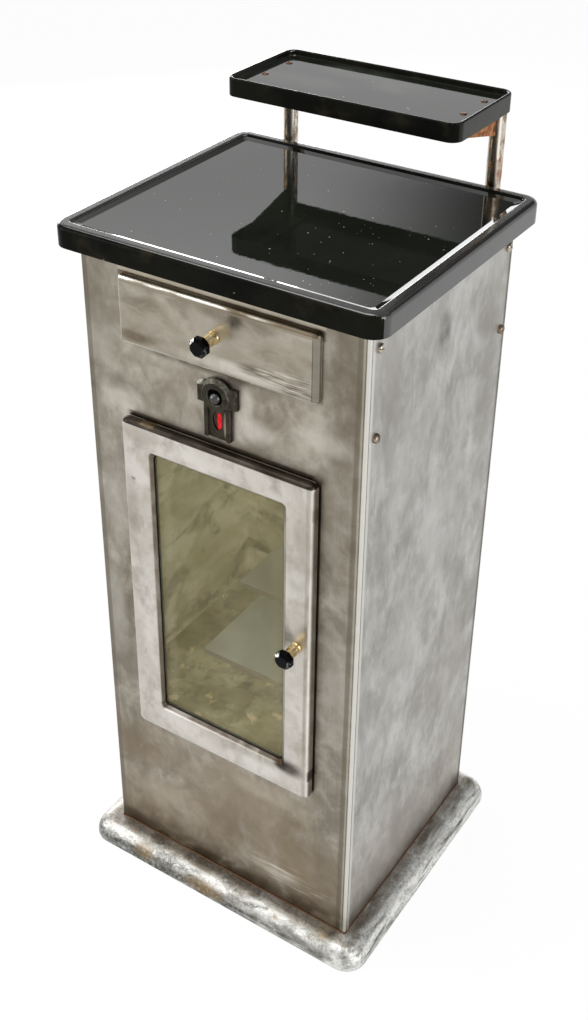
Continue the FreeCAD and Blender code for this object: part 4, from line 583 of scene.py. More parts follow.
def finish_side_steel():
    """Bare side sheet: cooler and paler, with slanting rubbed strokes, brown along the foot."""
    steel = Finish("side_steel", (177, 175, 170), Metallic=1.0, Roughness=0.4, Emission_Strength=0.26)
    for cloud in (((162, 159, 152), 1.0, 5, 0.5, 0.18, 0.3, 0.0, (1, 1, 0.6)),
                  ((150, 146, 139), 0.6, 11, 0.45, 0.1, 0.7, 8.8, (1, 1, 0.8)),
                  ((204, 203, 200), 0.6, 18, 0.38, 0.1, 0.8, 1.8, (1, 1, 0.7))):
        steel.cloud(*cloud)
    slant = (-38, 0, 0)
    steel.lay(steel.strokes((20, 70, 24), slant, 0.3), (200, 199, 195), 0.3)
    steel.lay(steel.strokes((20, 150, 46), slant, 0.26, 4.0), (214, 213, 209), 0.4)
    for cloud in (((150, 147, 141), 0.4, 60, 0.34, 0.1, 0.7, 5.8, (1, 1, 0.8)),
                  ((206, 205, 202), 0.5, 28, 0.34, 0.14, 0.9, 13.0, (1, 1, 0.6)),
                  ((138, 135, 129), 0.5, 20, 0.34, 0.12, 0.4, 6.1, (1, 1.4, 0.7))):
        steel.cloud(*cloud)
    steel.marks(0, 0.178, 0.03, (
        (1, 813, 12, 20, (84, 80, 72), 0.7), (118, 690, 22, 130, (150, 146, 138), 0.7),
        (30, 560, 50, 60, (200, 199, 195), 0.5), (-60, 700, 50, 60, (196, 195, 190), 0.5),
        (-50, 400, 40, 80, (196, 195, 191), 0.5), (80, 300, 50, 90, (150, 144, 134), 0.5),
        (-110, 820, 20, 50, (158, 154, 146), 0.6), (60, 860, 70, 30, (202, 201, 197), 0.5)))
    steel.cloud((148, 136, 120), 0.6, 8, 0.7, 0.3, 0.4, 2.0, within=steel.band(steel.z, 0.0, 0.14, 0.08))
    steel.cloud((86, 66, 46), 0.8, 14, 0.6, 0.16, 0.5, 8.0, within=steel.band(steel.z, 0.0, 0.045, 0.016))
    steel.cloud(*SEAM_RUST, within=steel.band(steel.z, 0.0, 0.031, 0.0016))
    # Near the front corner: painted shade in the seam recess, then a painted highlight on the bend behind it; a darker
    # band along the back edge.
    steel.line(steel.y, 0, -150, -145.5, (214, 213, 208), 0.8, 0.6)
    steel.line(steel.y, 0, -160, -150.2, (52, 44, 34), 0.9, 0.3)
    steel.line(steel.y, 0, 148.5, 153, (112, 106, 96), 0.6, 1)
    inside = steel.times(steel.band(steel.x, -0.1771, 0.1771, 0.0002), steel.band(steel.y, -0.2, 0.1542, 0.0002))
    steel.lay(inside, (200, 192, 158), 0.92)
    steel.cloud((140, 130, 84), 0.85, 9, 0.5, 0.12, 0.6, 14.0, (1, 1, 1.4), within=inside)
    patch = steel.times(inside, steel.smudges(10, 0.36, 0.08, 0.7, 24.0, (1, 1, 1.8)))
    steel.lay(patch, (112, 100, 56), 0.85)
    steel.cloud((80, 70, 36), 0.8, 60, 0.5, 0.08, 0.6, within=patch)
    steel.cloud((164, 154, 112), 0.7, 44, 0.3, 0.08, 0.6, 31.0, within=inside)
    # The inner faces glow with their own colour: painted light inside the cupboard.
    feed(steel.tree, blend(steel.tree, inside, (0, 0, 0, 1), steel.colour), steel.shader.inputs["Emission Color"])
    steel.brush((900, 900, 50), 0.88, (20, 0.5, 0.2, 0.6, 4.4), 0.5, 0.35)
    return steel.done(*SHEET_BUMP)


def finish_door_steel():
    """Door frame: pale brushed steel, with painted highlights along its edges, painted shade over its top edge and on
    its right side, and darker in the lip.
    """
    steel = Finish("door_steel", (212, 207, 199), Metallic=1.0, Roughness=0.33)
    low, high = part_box("door_frame")
    for cloud in (((192, 186, 176), 0.8, 12, 0.45, 0.12, 0.5, 1.0), ((176, 168, 156), 0.5, 70, 0.3, 0.1, 0.5, 7.0),
                  ((150, 142, 131), 0.5, 30, 0.3, 0.08, 0.5, 3.0, (1, 1, 0.7)),
                  ((226, 222, 216), 0.6, 22, 0.3, 0.1, 0.5, 5.0, (1, 1, 0.7))):
        steel.cloud(*cloud)
    steel.marks(1, low.y, 0.02, (
        (100, 283, 18, 10, (64, 56, 46), 0.9), (93, 481, 11, 13, (62, 57, 49), 0.8),
        (-118, 570, 10, 40, (152, 145, 134), 0.6), (118, 610, 12, 30, (168, 161, 151), 0.6),
        (-100, 675, 22, 12, (170, 162, 152), 0.6), (60, 262, 30, 10, (228, 225, 219), 0.7),
        (88, 283, 10, 7, (44, 36, 28), 0.95), (70, 640, 20, 6, (120, 111, 97), 0.7),
        (108, 560, 10, 12, (170, 166, 158), 0.5), (-20, 668, 40, 8, (226, 221, 213), 0.6),
        (-112, 615, 3, 2, (92, 86, 78), 0.8)))
    # Painted highlight along the left edge.
    steel.line(steel.x, low.x, -1, 2.6, (238, 235, 229), 0.8, 0.5)
    wear_and_sheen = steel.smudges(30, 0.8, 0.2, 0.5, 12.0, (1, 1, 0.4))
    # On the right rolled edge: a greyer band and a painted highlight line, both patchy like wear, then painted shade
    # on the right side face.
    steel.line(steel.x, high.x, -8, -4, (146, 134, 118), 0.6, 1, wear_and_sheen)
    steel.line(steel.x, high.x, -2.8, -1.4, (240, 237, 230), 0.85, 0.4, wear_and_sheen)
    steel.line(steel.x, high.x, -0.8, 1, (120, 110, 96), 0.6, 0.3)
    # Painted highlight along the bottom edge.
    steel.line(steel.z, low.z, -1, 2.2, (228, 224, 216), 0.7, 0.5)
    # Painted shade over the top edge, then a pale line along the back of the top.
    top = steel.band(steel.z, high.z - 0.0048, high.z + 0.01, 0.0009)
    steel.lay(top, (58, 50, 40), 0.94)
    steel.cloud((30, 25, 19), 0.9, 34, 0.5, 0.2, 0.5, 2.0, (0.5, 1, 1), within=top)
    steel.line(steel.y, high.y, -1.2, 10, (214, 206, 190), 0.7, 0.4,
               steel.band(steel.z, high.z - 0.001, high.z + 0.01, 0.0003))
    lip = steel.band(steel.y, low.y + 0.0016, low.y + 0.02, 0.001)
    for value, start, end, soft, cloud in (
            (steel.x, -0.1, -0.082, 0.001, ((104, 88, 68), 0.85, 24, 0.85, 0.2, 0.5, 6.0)),
            (steel.z, low.z + 0.03, low.z + 0.046, 0.002, ((56, 45, 34), 0.9, 24, 0.85, 0.2, 0.5, 7.0)),
            (steel.z, high.z - 0.045, high.z - 0.03, 0.002, ((110, 96, 78), 0.7, 30, 0.6, 0.2, 0.5, 8.0))):
        steel.cloud(*cloud, (1, 1, 0.6), within=steel.times(lip, steel.band(value, start, end, soft)))
    # Painted highlight on the lip's right rounded edge.
    right = steel.times(lip, steel.band(steel.x, 0.084, 0.1, 0.001), steel.band(steel.z, 0.292, 0.63, 0.01))
    steel.lay(right, (236, 233, 226), 0.8)
    steel.line(steel.y, low.y, 6.2, 7.8, (12, 10, 8), 0.97, 0.4, steel.band(steel.x, -0.088, 0.0870, 0.0002))
    steel.brush((700, 700, 90), 0.9, (26, 0.5, 0.2, 0.5, 4.4), 0.42, 0.3)
    return steel.done(*SHEET_BUMP)


def finish_drawer_steel():
    """Drawer front: satin beige-grey, with painted highlights and wear round its edge, painted shade on its right
    side, scratched at its lower right.
    """
    steel = Finish("drawer_steel", (172, 165, 151), Metallic=1.0, Roughness=0.33)
    low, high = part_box("drawer_front")
    for cloud in (((150, 141, 124), 0.9, 14, 0.5, 0.14, 0.4, 2.0, (1, 1, 1.2)),
                  ((116, 106, 92), 0.6, 26, 0.36, 0.1, 0.5, 5.5, (0.8, 1, 1.5)),
                  ((196, 189, 176), 0.5, 20, 0.3, 0.1, 0.5, 8.5, (0.8, 1, 1.3))):
        steel.cloud(*cloud)
    # The dark patch at 24, 850 is a painted reflection of the black knob.
    steel.marks(1, low.y, 0.02, (
        (24, 850, 10, 10, (44, 40, 34), 0.9), (4, 852, 28, 7, (118, 109, 93), 0.7),
        (-104, 794, 26, 6, (104, 91, 74), 0.8), (22, 794, 60, 7, (220, 215, 205), 0.7),
        (-70, 812, 30, 12, (190, 184, 170), 0.5), (52, 800, 20, 6, (96, 83, 66), 0.8),
        (85, 822, 26, 16, (150, 139, 121), 0.6), (95, 792, 12, 6, (90, 74, 60), 0.8),
        (-100, 850, 16, 8, (196, 190, 178), 0.5)))
    scuff = steel.spot((0.080, low.y, 0.797), (0.044, 0.02, 0.013), 0.5)
    for grain, amount, seed, colour, strength in (((26, 60, 900), 0.5, 2.0, (220, 213, 202), 0.9),
                                                  ((30, 60, 700), 0.4, 9.0, (92, 78, 62), 0.8)):
        steel.lay(steel.times(scuff, steel.strokes(grain, (0, 8, 0), amount, seed)), colour, strength)
    wear_and_sheen = steel.smudges(34, 0.9, 0.16, 0.5, 1.0, (0.6, 1, 1))
    # Round the rolled edge: painted shade in a dark line where the face turns and on the right side face, a darker
    # line where the top turns, and browner over the top's right part.
    steel.line(steel.x, high.x, -7.8, -6.6, (84, 72, 56), 0.8, 0.4)
    steel.line(steel.x, high.x, -6.6, 1, (134, 128, 117), 0.8, 0.5)
    steel.line(steel.z, high.z, -8.5, -5.5, (146, 136, 119), 0.7, 0.8)
    steel.line(steel.z, high.z, -5.5, 10, (112, 96, 74), 0.8, 0.6, steel.band(steel.x, 0.010, 0.2, 0.02))
    # Painted highlights, patchy like wear, along the top, left and bottom edges.
    rubbed = steel.times(wear_and_sheen, steel.smudges(60, 0.6, 0.1, 0.6, 7.0, (0.4, 1, 2)))
    steel.line(steel.z, high.z, -4.6, -2.2, (240, 237, 230), 0.85, 0.5,
               steel.times(rubbed, steel.band(steel.x, -0.2, 0.06, 0.02)))
    steel.line(steel.x, low.x, -1, 2.8, (242, 239, 233), 0.9, 0.6)
    steel.line(steel.z, low.z, -1, 3, (236, 232, 225), 0.9, 0.6, wear_and_sheen)
    # Painted highlight along the back of the right side.
    right = steel.times(steel.band(steel.x, high.x - 0.002, high.x + 0.01, 0.0005),
                        steel.band(steel.z, 0.0, high.z - 0.006, 0.002))
    bright = steel.band(steel.y, low.y + 0.0052, high.y + 0.01, 0.0004)
    steel.lay(steel.times(bright, right), (242, 240, 235), 0.9)
    steel.brush((60, 900, 900), 0.88, (24, 0.5, 0.2, 0.5, 4.4), 0.44, 0.3)
    return steel.done(*SHEET_BUMP)


def finish_moulding():
    """Base moulding: silver casting, blotched dark along its length, with small brown patches, a painted highlight and
    sparkle along its crest, and painted shade at its foot.
    """
    metal = Finish("base_moulding", (196, 195, 190), Metallic=1.0, Roughness=0.38)
    metal.cloud((150, 147, 139), 0.85, 26, 0.5, 0.1, 0.5)
    # Painted highlight along the crest.
    crest = metal.band(metal.z, 0.0165, 0.0232, 0.003)
    metal.cloud((236, 235, 230), 0.8, 90, 0.6, 0.12, 0.5, 6.0, within=crest)
    streaks = [metal.times(metal.smudges(30, 0.45, 0.1, 0.5, 3.0, stretch), metal.band(metal.y, start, end, 0.004))
               for stretch, start, end in (((0.3, 1, 2.4), -0.3, -0.172), ((1, 0.3, 2.4), -0.172, 0.3))]
    dark = metal.times(metal.most(*streaks), metal.smudges(220, 0.65, 0.2, 0.5))
    metal.lay(dark, (50, 52, 49), 0.9)
    metal.cloud((92, 92, 88), 0.6, 70, 0.4, 0.08, 0.6, 0.0, (0.6, 0.6, 2),
                within=metal.band(metal.z, 0.004, 0.0175, 0.004))
    metal.cloud((238, 238, 235), 0.8, 60, 0.6, 0.1, 0.6, 12.0, (1, 0.3, 2),
                within=metal.band(metal.x, 0.17, 0.3, 0.004))
    metal.cloud((110, 109, 102), 0.6, 34, 0.6, 0.2, 0.5, within=metal.smudges(300, 0.35, 0.1, 0.5))
    metal.cloud((150, 130, 98), 0.7, 26, 0.1, 0.04, 0.4, 8.2)
    metal.mark((-0.02, -0.186, 0.012), (0.03, 0.02, 0.008), (142, 120, 86), 0.8)
    metal.mark((-0.12, -0.184, 0.016), (0.014, 0.02, 0.008), (138, 116, 84), 0.8)
    metal.cloud((108, 96, 78), 0.6, 50, 0.6, 0.2, 0.5, within=metal.band(metal.z, 0.0258, 0.03, 0.0005))
    # Painted shade along the foot, where it meets the floor.
    metal.line(metal.z, 0, -10, 1.6, (70, 60, 50), 0.8, 1)
    # Painted sparkle of highlights on the crest.
    metal.lay(metal.times(crest, metal.specks(420, 0.3, 0.2)), (252, 252, 250), 0.9)
    metal.roughen(dark, 0.62)
    metal.roughen(metal.smudges(60, 0.5, 0.2, 0.5), 0.5)
    metal.raise_by(metal.smudges(190, 0.5, 0.3, 0.6), -0.6)
    metal.raise_by(metal.smudges(36, 0.5, 0.4, 0.5), 1.2)
    return metal.done(0.6, 0.0007)


def finish_enamel(name, rough, index, stained=False):
    """Black vitreous enamel with a slight orange peel and dust, and the small shelf's own stains, chips and painted
    highlight.
    """
    enamel = Finish(name, (20, 23, 18), Roughness=rough, IOR=index)
    enamel.cloud((28, 31, 25), 0.8, 9, 0.35, 0.2, 0.5)
    enamel.lay(enamel.specks(90, 0.08, 0.3), (236, 234, 228), 0.8)
    enamel.lay(enamel.specks(210, 0.12, 0.12), (200, 198, 190), 0.7)
    if stained:
        enamel.mark((0.130, 0.071, 1.007), (0.012, 0.006, 0.006), (118, 70, 42), 0.9, 0.3)
        # White on the small shelf's right rim: chipped enamel with a painted highlight.
        chips_and_sheen = enamel.times(enamel.band(enamel.z, 1.0066, 1.01, 0.0003),
                               enamel.band(enamel.x, 0.1405, 0.15, 0.0004))
        enamel.cloud((206, 204, 198), 0.9, 60, 0.7, 0.2, 0.5, within=chips_and_sheen)
        film = (74, 76, 70)
        enamel.marks(2, 1.001, 0.02, ((-40, 177, 40, 16, film, 0.5), (23, 158, 30, 20, film, 0.5),
                                      (-80, 120, 50, 20, film, 0.4)))
    enamel.roughen(enamel.smudges(40, 0.2, 0.2, 0.5), rough + 0.03)
    enamel.raise_by(enamel.smudges(24, 0.5, 0.5, 0.4), 0.5)
    enamel.raise_by(enamel.smudges(150, 0.5, 0.5, 0.3), 0.14)
    return enamel.done(0.12, 0.0006)


def finish_enamel_side(name, index):
    """The skirts: duller, with a mist of dust and a faint brown bloom."""
    enamel = Finish(name, (9, 10, 8), Roughness=0.2, IOR=index)
    enamel.cloud((22, 22, 17), 0.8, 14, 0.5, 0.2, 0.5)
    enamel.cloud((40, 36, 26), 0.6, 30, 0.2, 0.1, 0.5, 4.0)
    enamel.lay(enamel.specks(110, 0.08, 0.05), (170, 168, 158), 0.8)
    enamel.raise_by(enamel.smudges(60, 0.5, 0.5, 0.4), 1.0)
    return enamel.done(0.15, 0.0006)


def finish_chrome():
    """Worn plating on the posts: a painted dark reflection with patina down one side, a painted highlight stripe
    beside it, and rust coming through in streaks.
    """
    plate = Finish("worn_plating", (206, 198, 184), Metallic=1.0, Roughness=0.2)
    low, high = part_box("left_post")
    # The measure across each post runs along the camera's right, so the bands below follow the view.
    off_axis = sum_up(plate.tree, "SUBTRACT", sum_up(plate.tree, "ABSOLUTE", plate.x),
                      (abs(low.x) + abs(high.x)) / 2)
    across = plate.times(off_axis, sum_up(plate.tree, "SIGN", plate.x), 0.83)
    away = sum_up(plate.tree, "SUBTRACT", plate.y, (low.y + high.y) / 2)
    aside = sum_up(plate.tree, "ADD", across, plate.times(away, 0.557))
    # Painted dark reflection with patina down one side, flecked gold.
    dark = plate.times(plate.band(aside, -0.0076, -0.0004, 0.0008),
                       plate.smudges(60, 0.95, 0.2, 0.5, 0.0, (1, 1, 0.3)))
    plate.lay(dark, (30, 24, 16), 0.94)
    plate.cloud((168, 136, 84), 0.8, 260, 0.36, 0.06, 0.5, 5.0, (1, 1, 0.3), within=dark)
    # Painted highlight stripe beside it.
    plate.line(aside, 0, 0.4, 2.4, (248, 246, 240), 0.8, 0.5)
    plate.cloud((118, 94, 66), 0.85, 220, 0.4, 0.08, 0.6, 2.0, (1, 1, 0.5),
                within=plate.band(aside, 0.0030, 0.0100, 0.0008))
    rust = plate.times(plate.smudges(120, 0.4, 0.06, 0.5, 3.0, (1, 1, 0.22)), plate.smudges(24, 0.5, 0.16, 0.5))
    plate.lay(rust, (140, 90, 52), 0.9)
    plate.roughen(rust, 0.7)
    plate.raise_by(rust, 0.8)
    return plate.done(0.5, 0.0004)


def finish_rust():
    """Rusted gusset plates."""
    rust = Finish("rusted_plate", (168, 104, 58), Metallic=0.25, Roughness=0.8)
    rust.cloud((120, 70, 38), 1.0, 60, 0.5, 0.14, 0.5)
    rust.cloud((196, 140, 92), 0.7, 200, 0.45, 0.1, 0.5, 3.0)
    rust.cloud((52, 34, 24), 0.8, 90, 0.22, 0.1, 0.5, 6.0)
    rust.raise_by(rust.smudges(260, 0.5, 0.3, 0.5), 1.0)
    return rust.done(0.8, 0.0006)


def finish_brass():
    brass = Finish("polished_brass", (240, 220, 170), Metallic=1.0, Roughness=0.14)
    brass.cloud((196, 160, 92), 0.7, 150, 0.4, 0.12, 0.5)
    brass.cloud((80, 58, 30), 0.8, 260, 0.22, 0.08, 0.5, 4.0)
    brass.cloud((255, 250, 236), 0.8, 200, 0.2, 0.08, 0.5, 9.0)
    brass.raise_by(brass.brushing((700, 1500, 700)), 0.4)
    brass.roughen(brass.smudges(150, 0.45, 0.2, 0.5), 0.26)
    return brass.done(0.2, 0.0003)


def finish_knob_glass():
    """Black glass with a bright glint at its upper left and a faint one at its lower right."""
    glass = Finish("black_glass", (2, 2, 2), Roughness=0.03, IOR=1.17)
    glass.cloud((244, 244, 242), 0.9, 260, 0.6, 0.06, 0.3, within=glass.toward((-0.5, -0.7, 0.5), 0.92, 0.97))
    glass.cloud((150, 152, 152), 0.7, 320, 0.4, 0.06, 0.3, within=glass.toward((0.55, -0.8, -0.2), 0.93, 0.98))
    glass.roughen(glass.smudges(90, 0.28, 0.2, 0.5), 0.1)
    glass.raise_by(glass.smudges(160, 0.5, 0.5, 0.5), 1.0)
    return glass.done(0.06, 0.0004)


def finish_plate():
    """Dark antique casting, with painted highlights along its bevels."""
    cast = Finish("dark_casting", (60, 56, 46), Metallic=0.9, Roughness=0.4)
    cast.cloud((42, 38, 31), 0.9, 60, 0.5, 0.16, 0.5)
    # Painted highlights along the bevels of the raised parts.
    proud = ramp(cast.tree, cast.y, -0.1575, -0.1590)
    bevel = ramp(cast.tree, cast.facing(1), 0.93, 0.80)
    cast.cloud((126, 124, 112), 0.7, 90, 0.6, 0.2, 0.5, within=cast.times(proud, bevel))
    cast.cloud((32, 27, 20), 0.7, 140, 0.28, 0.1, 0.5, 5.0)
    # Painted highlights: a pale strip right of the lamp window and a bright spot on the left ear's upper facet.
    cast.mark((0.009, -0.158, 0.719), (0.0016, 0.004, 0.014), (176, 166, 144), 0.6, 0.4)
    cast.mark((-0.023, -0.162, 0.766), (0.005, 0.01, 0.003), (206, 203, 196), 0.9, 0.3)
    cast.raise_by(cast.smudges(240, 0.5, 0.3, 0.5), 1.0)
    cast.raise_by(cast.smudges(60, 0.5, 0.4, 0.5), 1.5)
    cast.roughen(cast.smudges(80, 0.45, 0.2, 0.5), 0.54)
    return cast.done(0.5, 0.0005)


def finish_lever():
    metal = Finish("worn_ball", (84, 86, 85), Metallic=1.0, Roughness=0.24)
    metal.cloud((48, 42, 36), 0.8, 200, 0.35, 0.12, 0.5)
    metal.mark((-0.001, -0.167, 0.7490), (0.0016, 0.003, 0.0016), (120, 62, 34), 0.9, 0.3)
    metal.raise_by(metal.smudges(300, 0.5, 0.3, 0.5), 1.0)
    return metal.done(0.3, 0.0003)


def finish_jewel():
    """Red glass, with painted shade making it nearly black at its left and right edges."""
    jewel = Finish("red_jewel", (214, 0, 10), Roughness=0.2, Specular_IOR_Level=0.2, Coat_Weight=0.06,
                   Coat_Roughness=0.04)
    jewel.cloud((150, 2, 8), 0.7, 240, 0.3, 0.1, 0.5)
    jewel.lay(ramp(jewel.tree, jewel.x, -0.0004, -0.0016), (26, 3, 4), 0.97)
    jewel.lay(ramp(jewel.tree, jewel.x, 0.0036, 0.0042), (40, 4, 6), 0.9)
    return jewel.done()


def finish_window():
    """Old plate glass with a film of dust, thicker towards its ground border."""
    glass = Finish("dusty_glass", (178, 173, 140), Roughness=0.08, IOR=1.45)
    low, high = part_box("door_glass")
    border = 0.0245
    ground = glass.most(*[glass.band(value, start, end, 0.0006) for value, start, end in (
        (glass.x, low.x - 0.1, low.x + border), (glass.x, high.x - border, high.x + 0.1),
        (glass.z, low.z - 0.1, low.z + border), (glass.z, high.z - border, high.z + 0.1))])
    glass.cloud((150, 142, 100), 0.8, 14, 0.5, 0.2, 0.5)
    dust = glass.smudges(24, 0.5, 0.3, 0.5, 3.0)
    scratched = glass.times(glass.strokes((30, 60, 900), (0, 60, 0), 0.2, 3.0),
                            glass.spot((0.07, low.y, 0.35), (0.02, 0.02, 0.08), 0.3))
    alpha = sum_up(glass.tree, "ADD", glass.times(dust, 0.07), 0.08, glass.times(ground, 0.05),
                   glass.times(scratched, 0.5))
    feed(glass.tree, alpha, glass.shader.inputs["Alpha"])
    return glass.done()


def finish_inner():
    """Bare sheet of the pieces that don't show."""
    steel = Finish("inner_sheet", (150, 148, 142), Metallic=0.6, Roughness=0.5)
    dark = (112, 104, 92)
    steel.cloud(dark, 0.85, 12, 0.5, 0.14, 0.5)
    steel.cloud(dark, 0.5, 60, 0.28, 0.12, 0.5, 3.0)
    lines = steel.brushing((500, 500, 80))
    steel.shade(lines, 0.85)
    steel.raise_by(lines, 0.3)
    return steel.done(0.3, 0.0004)


def finish_inner_shelf():
    """Pale inner shelf, dimmer to the right and on its front edge, lit by its own colour."""
    steel = Finish("inner_shelf_sheet", (198, 200, 188), Metallic=0.0, Roughness=0.5, Emission_Strength=0.1)
    dark = (176, 177, 160)
    steel.cloud(dark, 0.85, 12, 0.5, 0.14, 0.5)
    steel.cloud(dark, 0.5, 60, 0.28, 0.12, 0.5, 3.0)
    lines = steel.brushing((500, 500, 80))
    steel.shade(lines, 0.85)
    steel.raise_by(lines, 0.3)
    steel.lay(steel.band(steel.x, -0.02, 0.3, 0.06), (156, 156, 138), 0.8)
    steel.lay(ramp(steel.tree, steel.facing(1), 0.5, 0.8), (120, 108, 84), 0.9)
    steel.glow()
    return steel.done(0.3, 0.0004)


def finish_cupboard():
    """Inside of the cupboard: an olive film over the sheet, browner and blotched lower down."""
    steel = Finish("cupboard_lining", (206, 198, 164), Roughness=0.6, Emission_Strength=0.22)
    for cloud in (((160, 150, 104), 0.9, 8, 0.5, 0.1, 0.6),
                  ((116, 104, 60), 0.85, 11, 0.42, 0.08, 0.6, 3.0, (1, 1, 1.6)),
                  ((96, 84, 44), 0.85, 20, 0.38, 0.08, 0.6, 3.0), ((70, 60, 28), 0.75, 60, 0.34, 0.08, 0.6, 5.0),
                  ((176, 160, 112), 0.7, 48, 0.3, 0.08, 0.6, 7.0)):
        steel.cloud(*cloud)
    low = steel.band(steel.z, 0.2, 0.42, 0.06)
    steel.cloud((104, 94, 54), 0.7, 16, 0.6, 0.12, 0.6, 19.0, within=low)
    steel.cloud((214, 192, 146), 0.8, 38, 0.16, 0.03, 0.4, 9.0, within=low)
    # Glows with its own colour: painted light inside the cupboard.
    steel.glow()
    return steel.done()


def finish_screw(name, colour, dark):
    metal = Finish(name, colour, Metallic=1.0, Roughness=0.3)
    metal.cloud(dark, 0.85, 260, 0.35, 0.12, 0.5)
    metal.cloud(dark, 0.8, 160, 0.85, 0.2, 0.5, within=metal.band(metal.z, 0.7, 0.8, 0.01))
    metal.raise_by(metal.smudges(400, 0.5, 0.3, 0.5), 1.0)
    return metal.done(0.3, 0.0003)


def finish_plain(name, colour, rough, metallic=0.0):
    plain = Finish(name, colour, Metallic=metallic, Roughness=rough)
    darker = [part * 0.6 for part in tone(colour)[:3]] + [1]
    plain.cloud(darker, 0.6, 80, 0.45, 0.2, 0.5)
    plain.raise_by(plain.smudges(300, 0.5, 0.4, 0.6), 1.0)
    return plain.done(0.2, 0.0003)


ENAMEL = finish_enamel("enamel_top", 0.012, 1.95)
SHELF_ENAMEL = finish_enamel("enamel_shelf", 0.02, 2.0, True)
ENAMEL_SIDE = finish_enamel_side("enamel_side", 1.85)
SHELF_SIDE = finish_enamel_side("enamel_shelf_side", 1.3)
ENAMEL_FRONT = finish_enamel_side("enamel_front", 1.1)
CHROME = finish_chrome()
BRASS = finish_brass()
KNOB_GLASS = finish_knob_glass()
INNER = finish_inner()
SCREW = finish_screw("screw_metal", (190, 184, 170), (110, 84, 56))
RUSTY_SCREW = finish_screw("rusty_screw", (112, 70, 40), (42, 28, 18))


def give(thing, *finishes):
    """Put finishes on a piece, in the order of its material slots."""
    thing.data.materials.clear()
    for finish in finishes:
        thing.data.materials.append(finish)


for node in nodes.values():
    give(node, INNER)

for finish, carried in (
        (finish_front_steel(), "front_panel"), (finish_side_steel(), "left_side_panel right_side_panel back_panel"),
        (finish_rust(), "right_shelf_bracket"), (finish_plain("shaded_rust", (36, 29, 22), 0.8), "left_shelf_bracket"),
        (finish_window(), "door_glass"), (finish_inner_shelf(), "inner_shelf_lower inner_shelf_upper"),
        (finish_cupboard(), "cupboard_floor cupboard_ceiling inner_shelf_racks"), (RUSTY_SCREW, "shelf_screw_nuts"),
        (finish_plain("black_rubber", (22, 22, 22), 0.7), "glass_gasket door_bumpers cable_grommet"),
        (finish_plain("dark_resin", (36, 26, 20), 0.35), "switch_case lamp_holder terminal_block"),
        (finish_plain("spring_bronze", (176, 130, 76), 0.35, 1.0), "catch_clip"),
        (finish_plain("bulb_glass", (220, 216, 200), 0.1), "pilot_bulb"),
        (SCREW, "clamp_bolts clamp_nuts side_screw_nuts escutcheon_nuts glass_retainer_screws door_knob_screw "
                "drawer_knob_screw hinge_pins toggle_pin base_plate_screws")):
    for name in carried.split():
        give(nodes[name], finish)


def fit(thing, body, slot, replaced, *finishes):
    """A finished piece: its finish, the body it rides on and the CAD nodes that it stands for."""
    give(thing, *finishes)
    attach(thing, body)
    if replaced:
        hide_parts(*replaced)


# Base moulding

def make_moulding():
    """Hollow casting with round corners and a broad round shoulder."""
    low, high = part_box("plinth")
    base = block("base_moulding", low, high)
    corner, shoulder, sole = 0.028, 0.0239, 0.002
    open_up(base)
    ease(upright, corner, 14)
    ease(lying(2, high.z), shoulder, 14)
    ease(lying(2, low.z), sole, 3)
    hollow(facing_down, (0.014, 0.003), (0.008, 0.0203))
    rub_smooth(base)
    fit(base, "cabinet", "moulding_metal", ["plinth"], finish_moulding())


# Enamelled tops

def paint_sides(thing, level_of_lip, margin):
    """Glossiest finish inside the rim; the rim and the skirts have duller ones."""
    low, high = thing.bound_box[0], thing.bound_box[6]
    for face in thing.data.polygons:
        at = face.center
        edge = min(at.x - low[0], high[0] - at.x, at.y - low[1], high[1] - at.y)
        outside = at.z < level_of_lip and abs(face.normal.z) < 0.5
        toward = face.normal.y < -0.5 or face.normal.x < -0.5
        if face.normal.z < -0.5:
            face.material_index = 2
        else:
            face.material_index = (2 if toward else 1) if outside or edge < margin else 0


def make_top():
    """Tray with a raised rim, a floor that slopes up to it all round, and a skirt turned under."""
    low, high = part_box("enamel_top")
    top = block("enamelled_top", low, high)
    corner, rim, wall, slope, border, sheet = 0.02, 0.0145, 0.0026, 0.0019, 0.008, 0.002
    floor = high.z - wall - slope
    open_up(top)
    ease(upright, corner, 12)
    hollow(facing_up, (rim, -wall))
    push(-slope)
    bpy.ops.transform.resize(value=(1 - border / (high.x - rim), 1 - border / (high.y - rim), 1),
                             center_override=(0, 0, floor))
    choose("edges", lying(2, floor))
    bpy.ops.mesh.mark_sharp()

    def outermost(edge):
        at = middle(edge)
        return abs(at.x) > high.x - rim + 1e-4 or abs(at.y) > high.y - rim + 1e-4

    ease(lying(2, high.z, beside_wall, outermost), 0.006, 8)
    ease(lying(2, high.z, beside_wall, lambda edge: not outermost(edge)), 0.0022, 6)
    hollow(facing_down, (sheet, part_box("front_panel")[1].z - low.z))
    rub_smooth(top)
    fit(top, "cabinet", "black_enamel", ["enamel_top"], ENAMEL, ENAMEL_SIDE, ENAMEL_FRONT)
    paint_sides(top, high.z - 0.004, rim + 0.0002)


def make_shelf():
    """Small tray with a thin rim."""
    low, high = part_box("upper_shelf")
    shelf = block("upper_tray", low, high)
    corner, rim, deep = 0.014, 0.0042, 0.0066
    open_up(shelf)
    ease(upright, corner, 12)
    hollow(facing_up, (rim, -deep))
    ease(lying(2, high.z, beside_wall), 0.0019, 4)
    ease(lying(2, high.z - deep, beside_wall), 0.0015, 3)
    hollow(facing_down, (0.0016, 0.0121))
    rub_smooth(shelf)
    fit(shelf, "cabinet", "black_enamel", ["upper_shelf"], SHELF_ENAMEL, SHELF_SIDE, ENAMEL_FRONT)
    paint_sides(shelf, high.z - 0.0025, rim + 0.0012)


# Pressed fronts

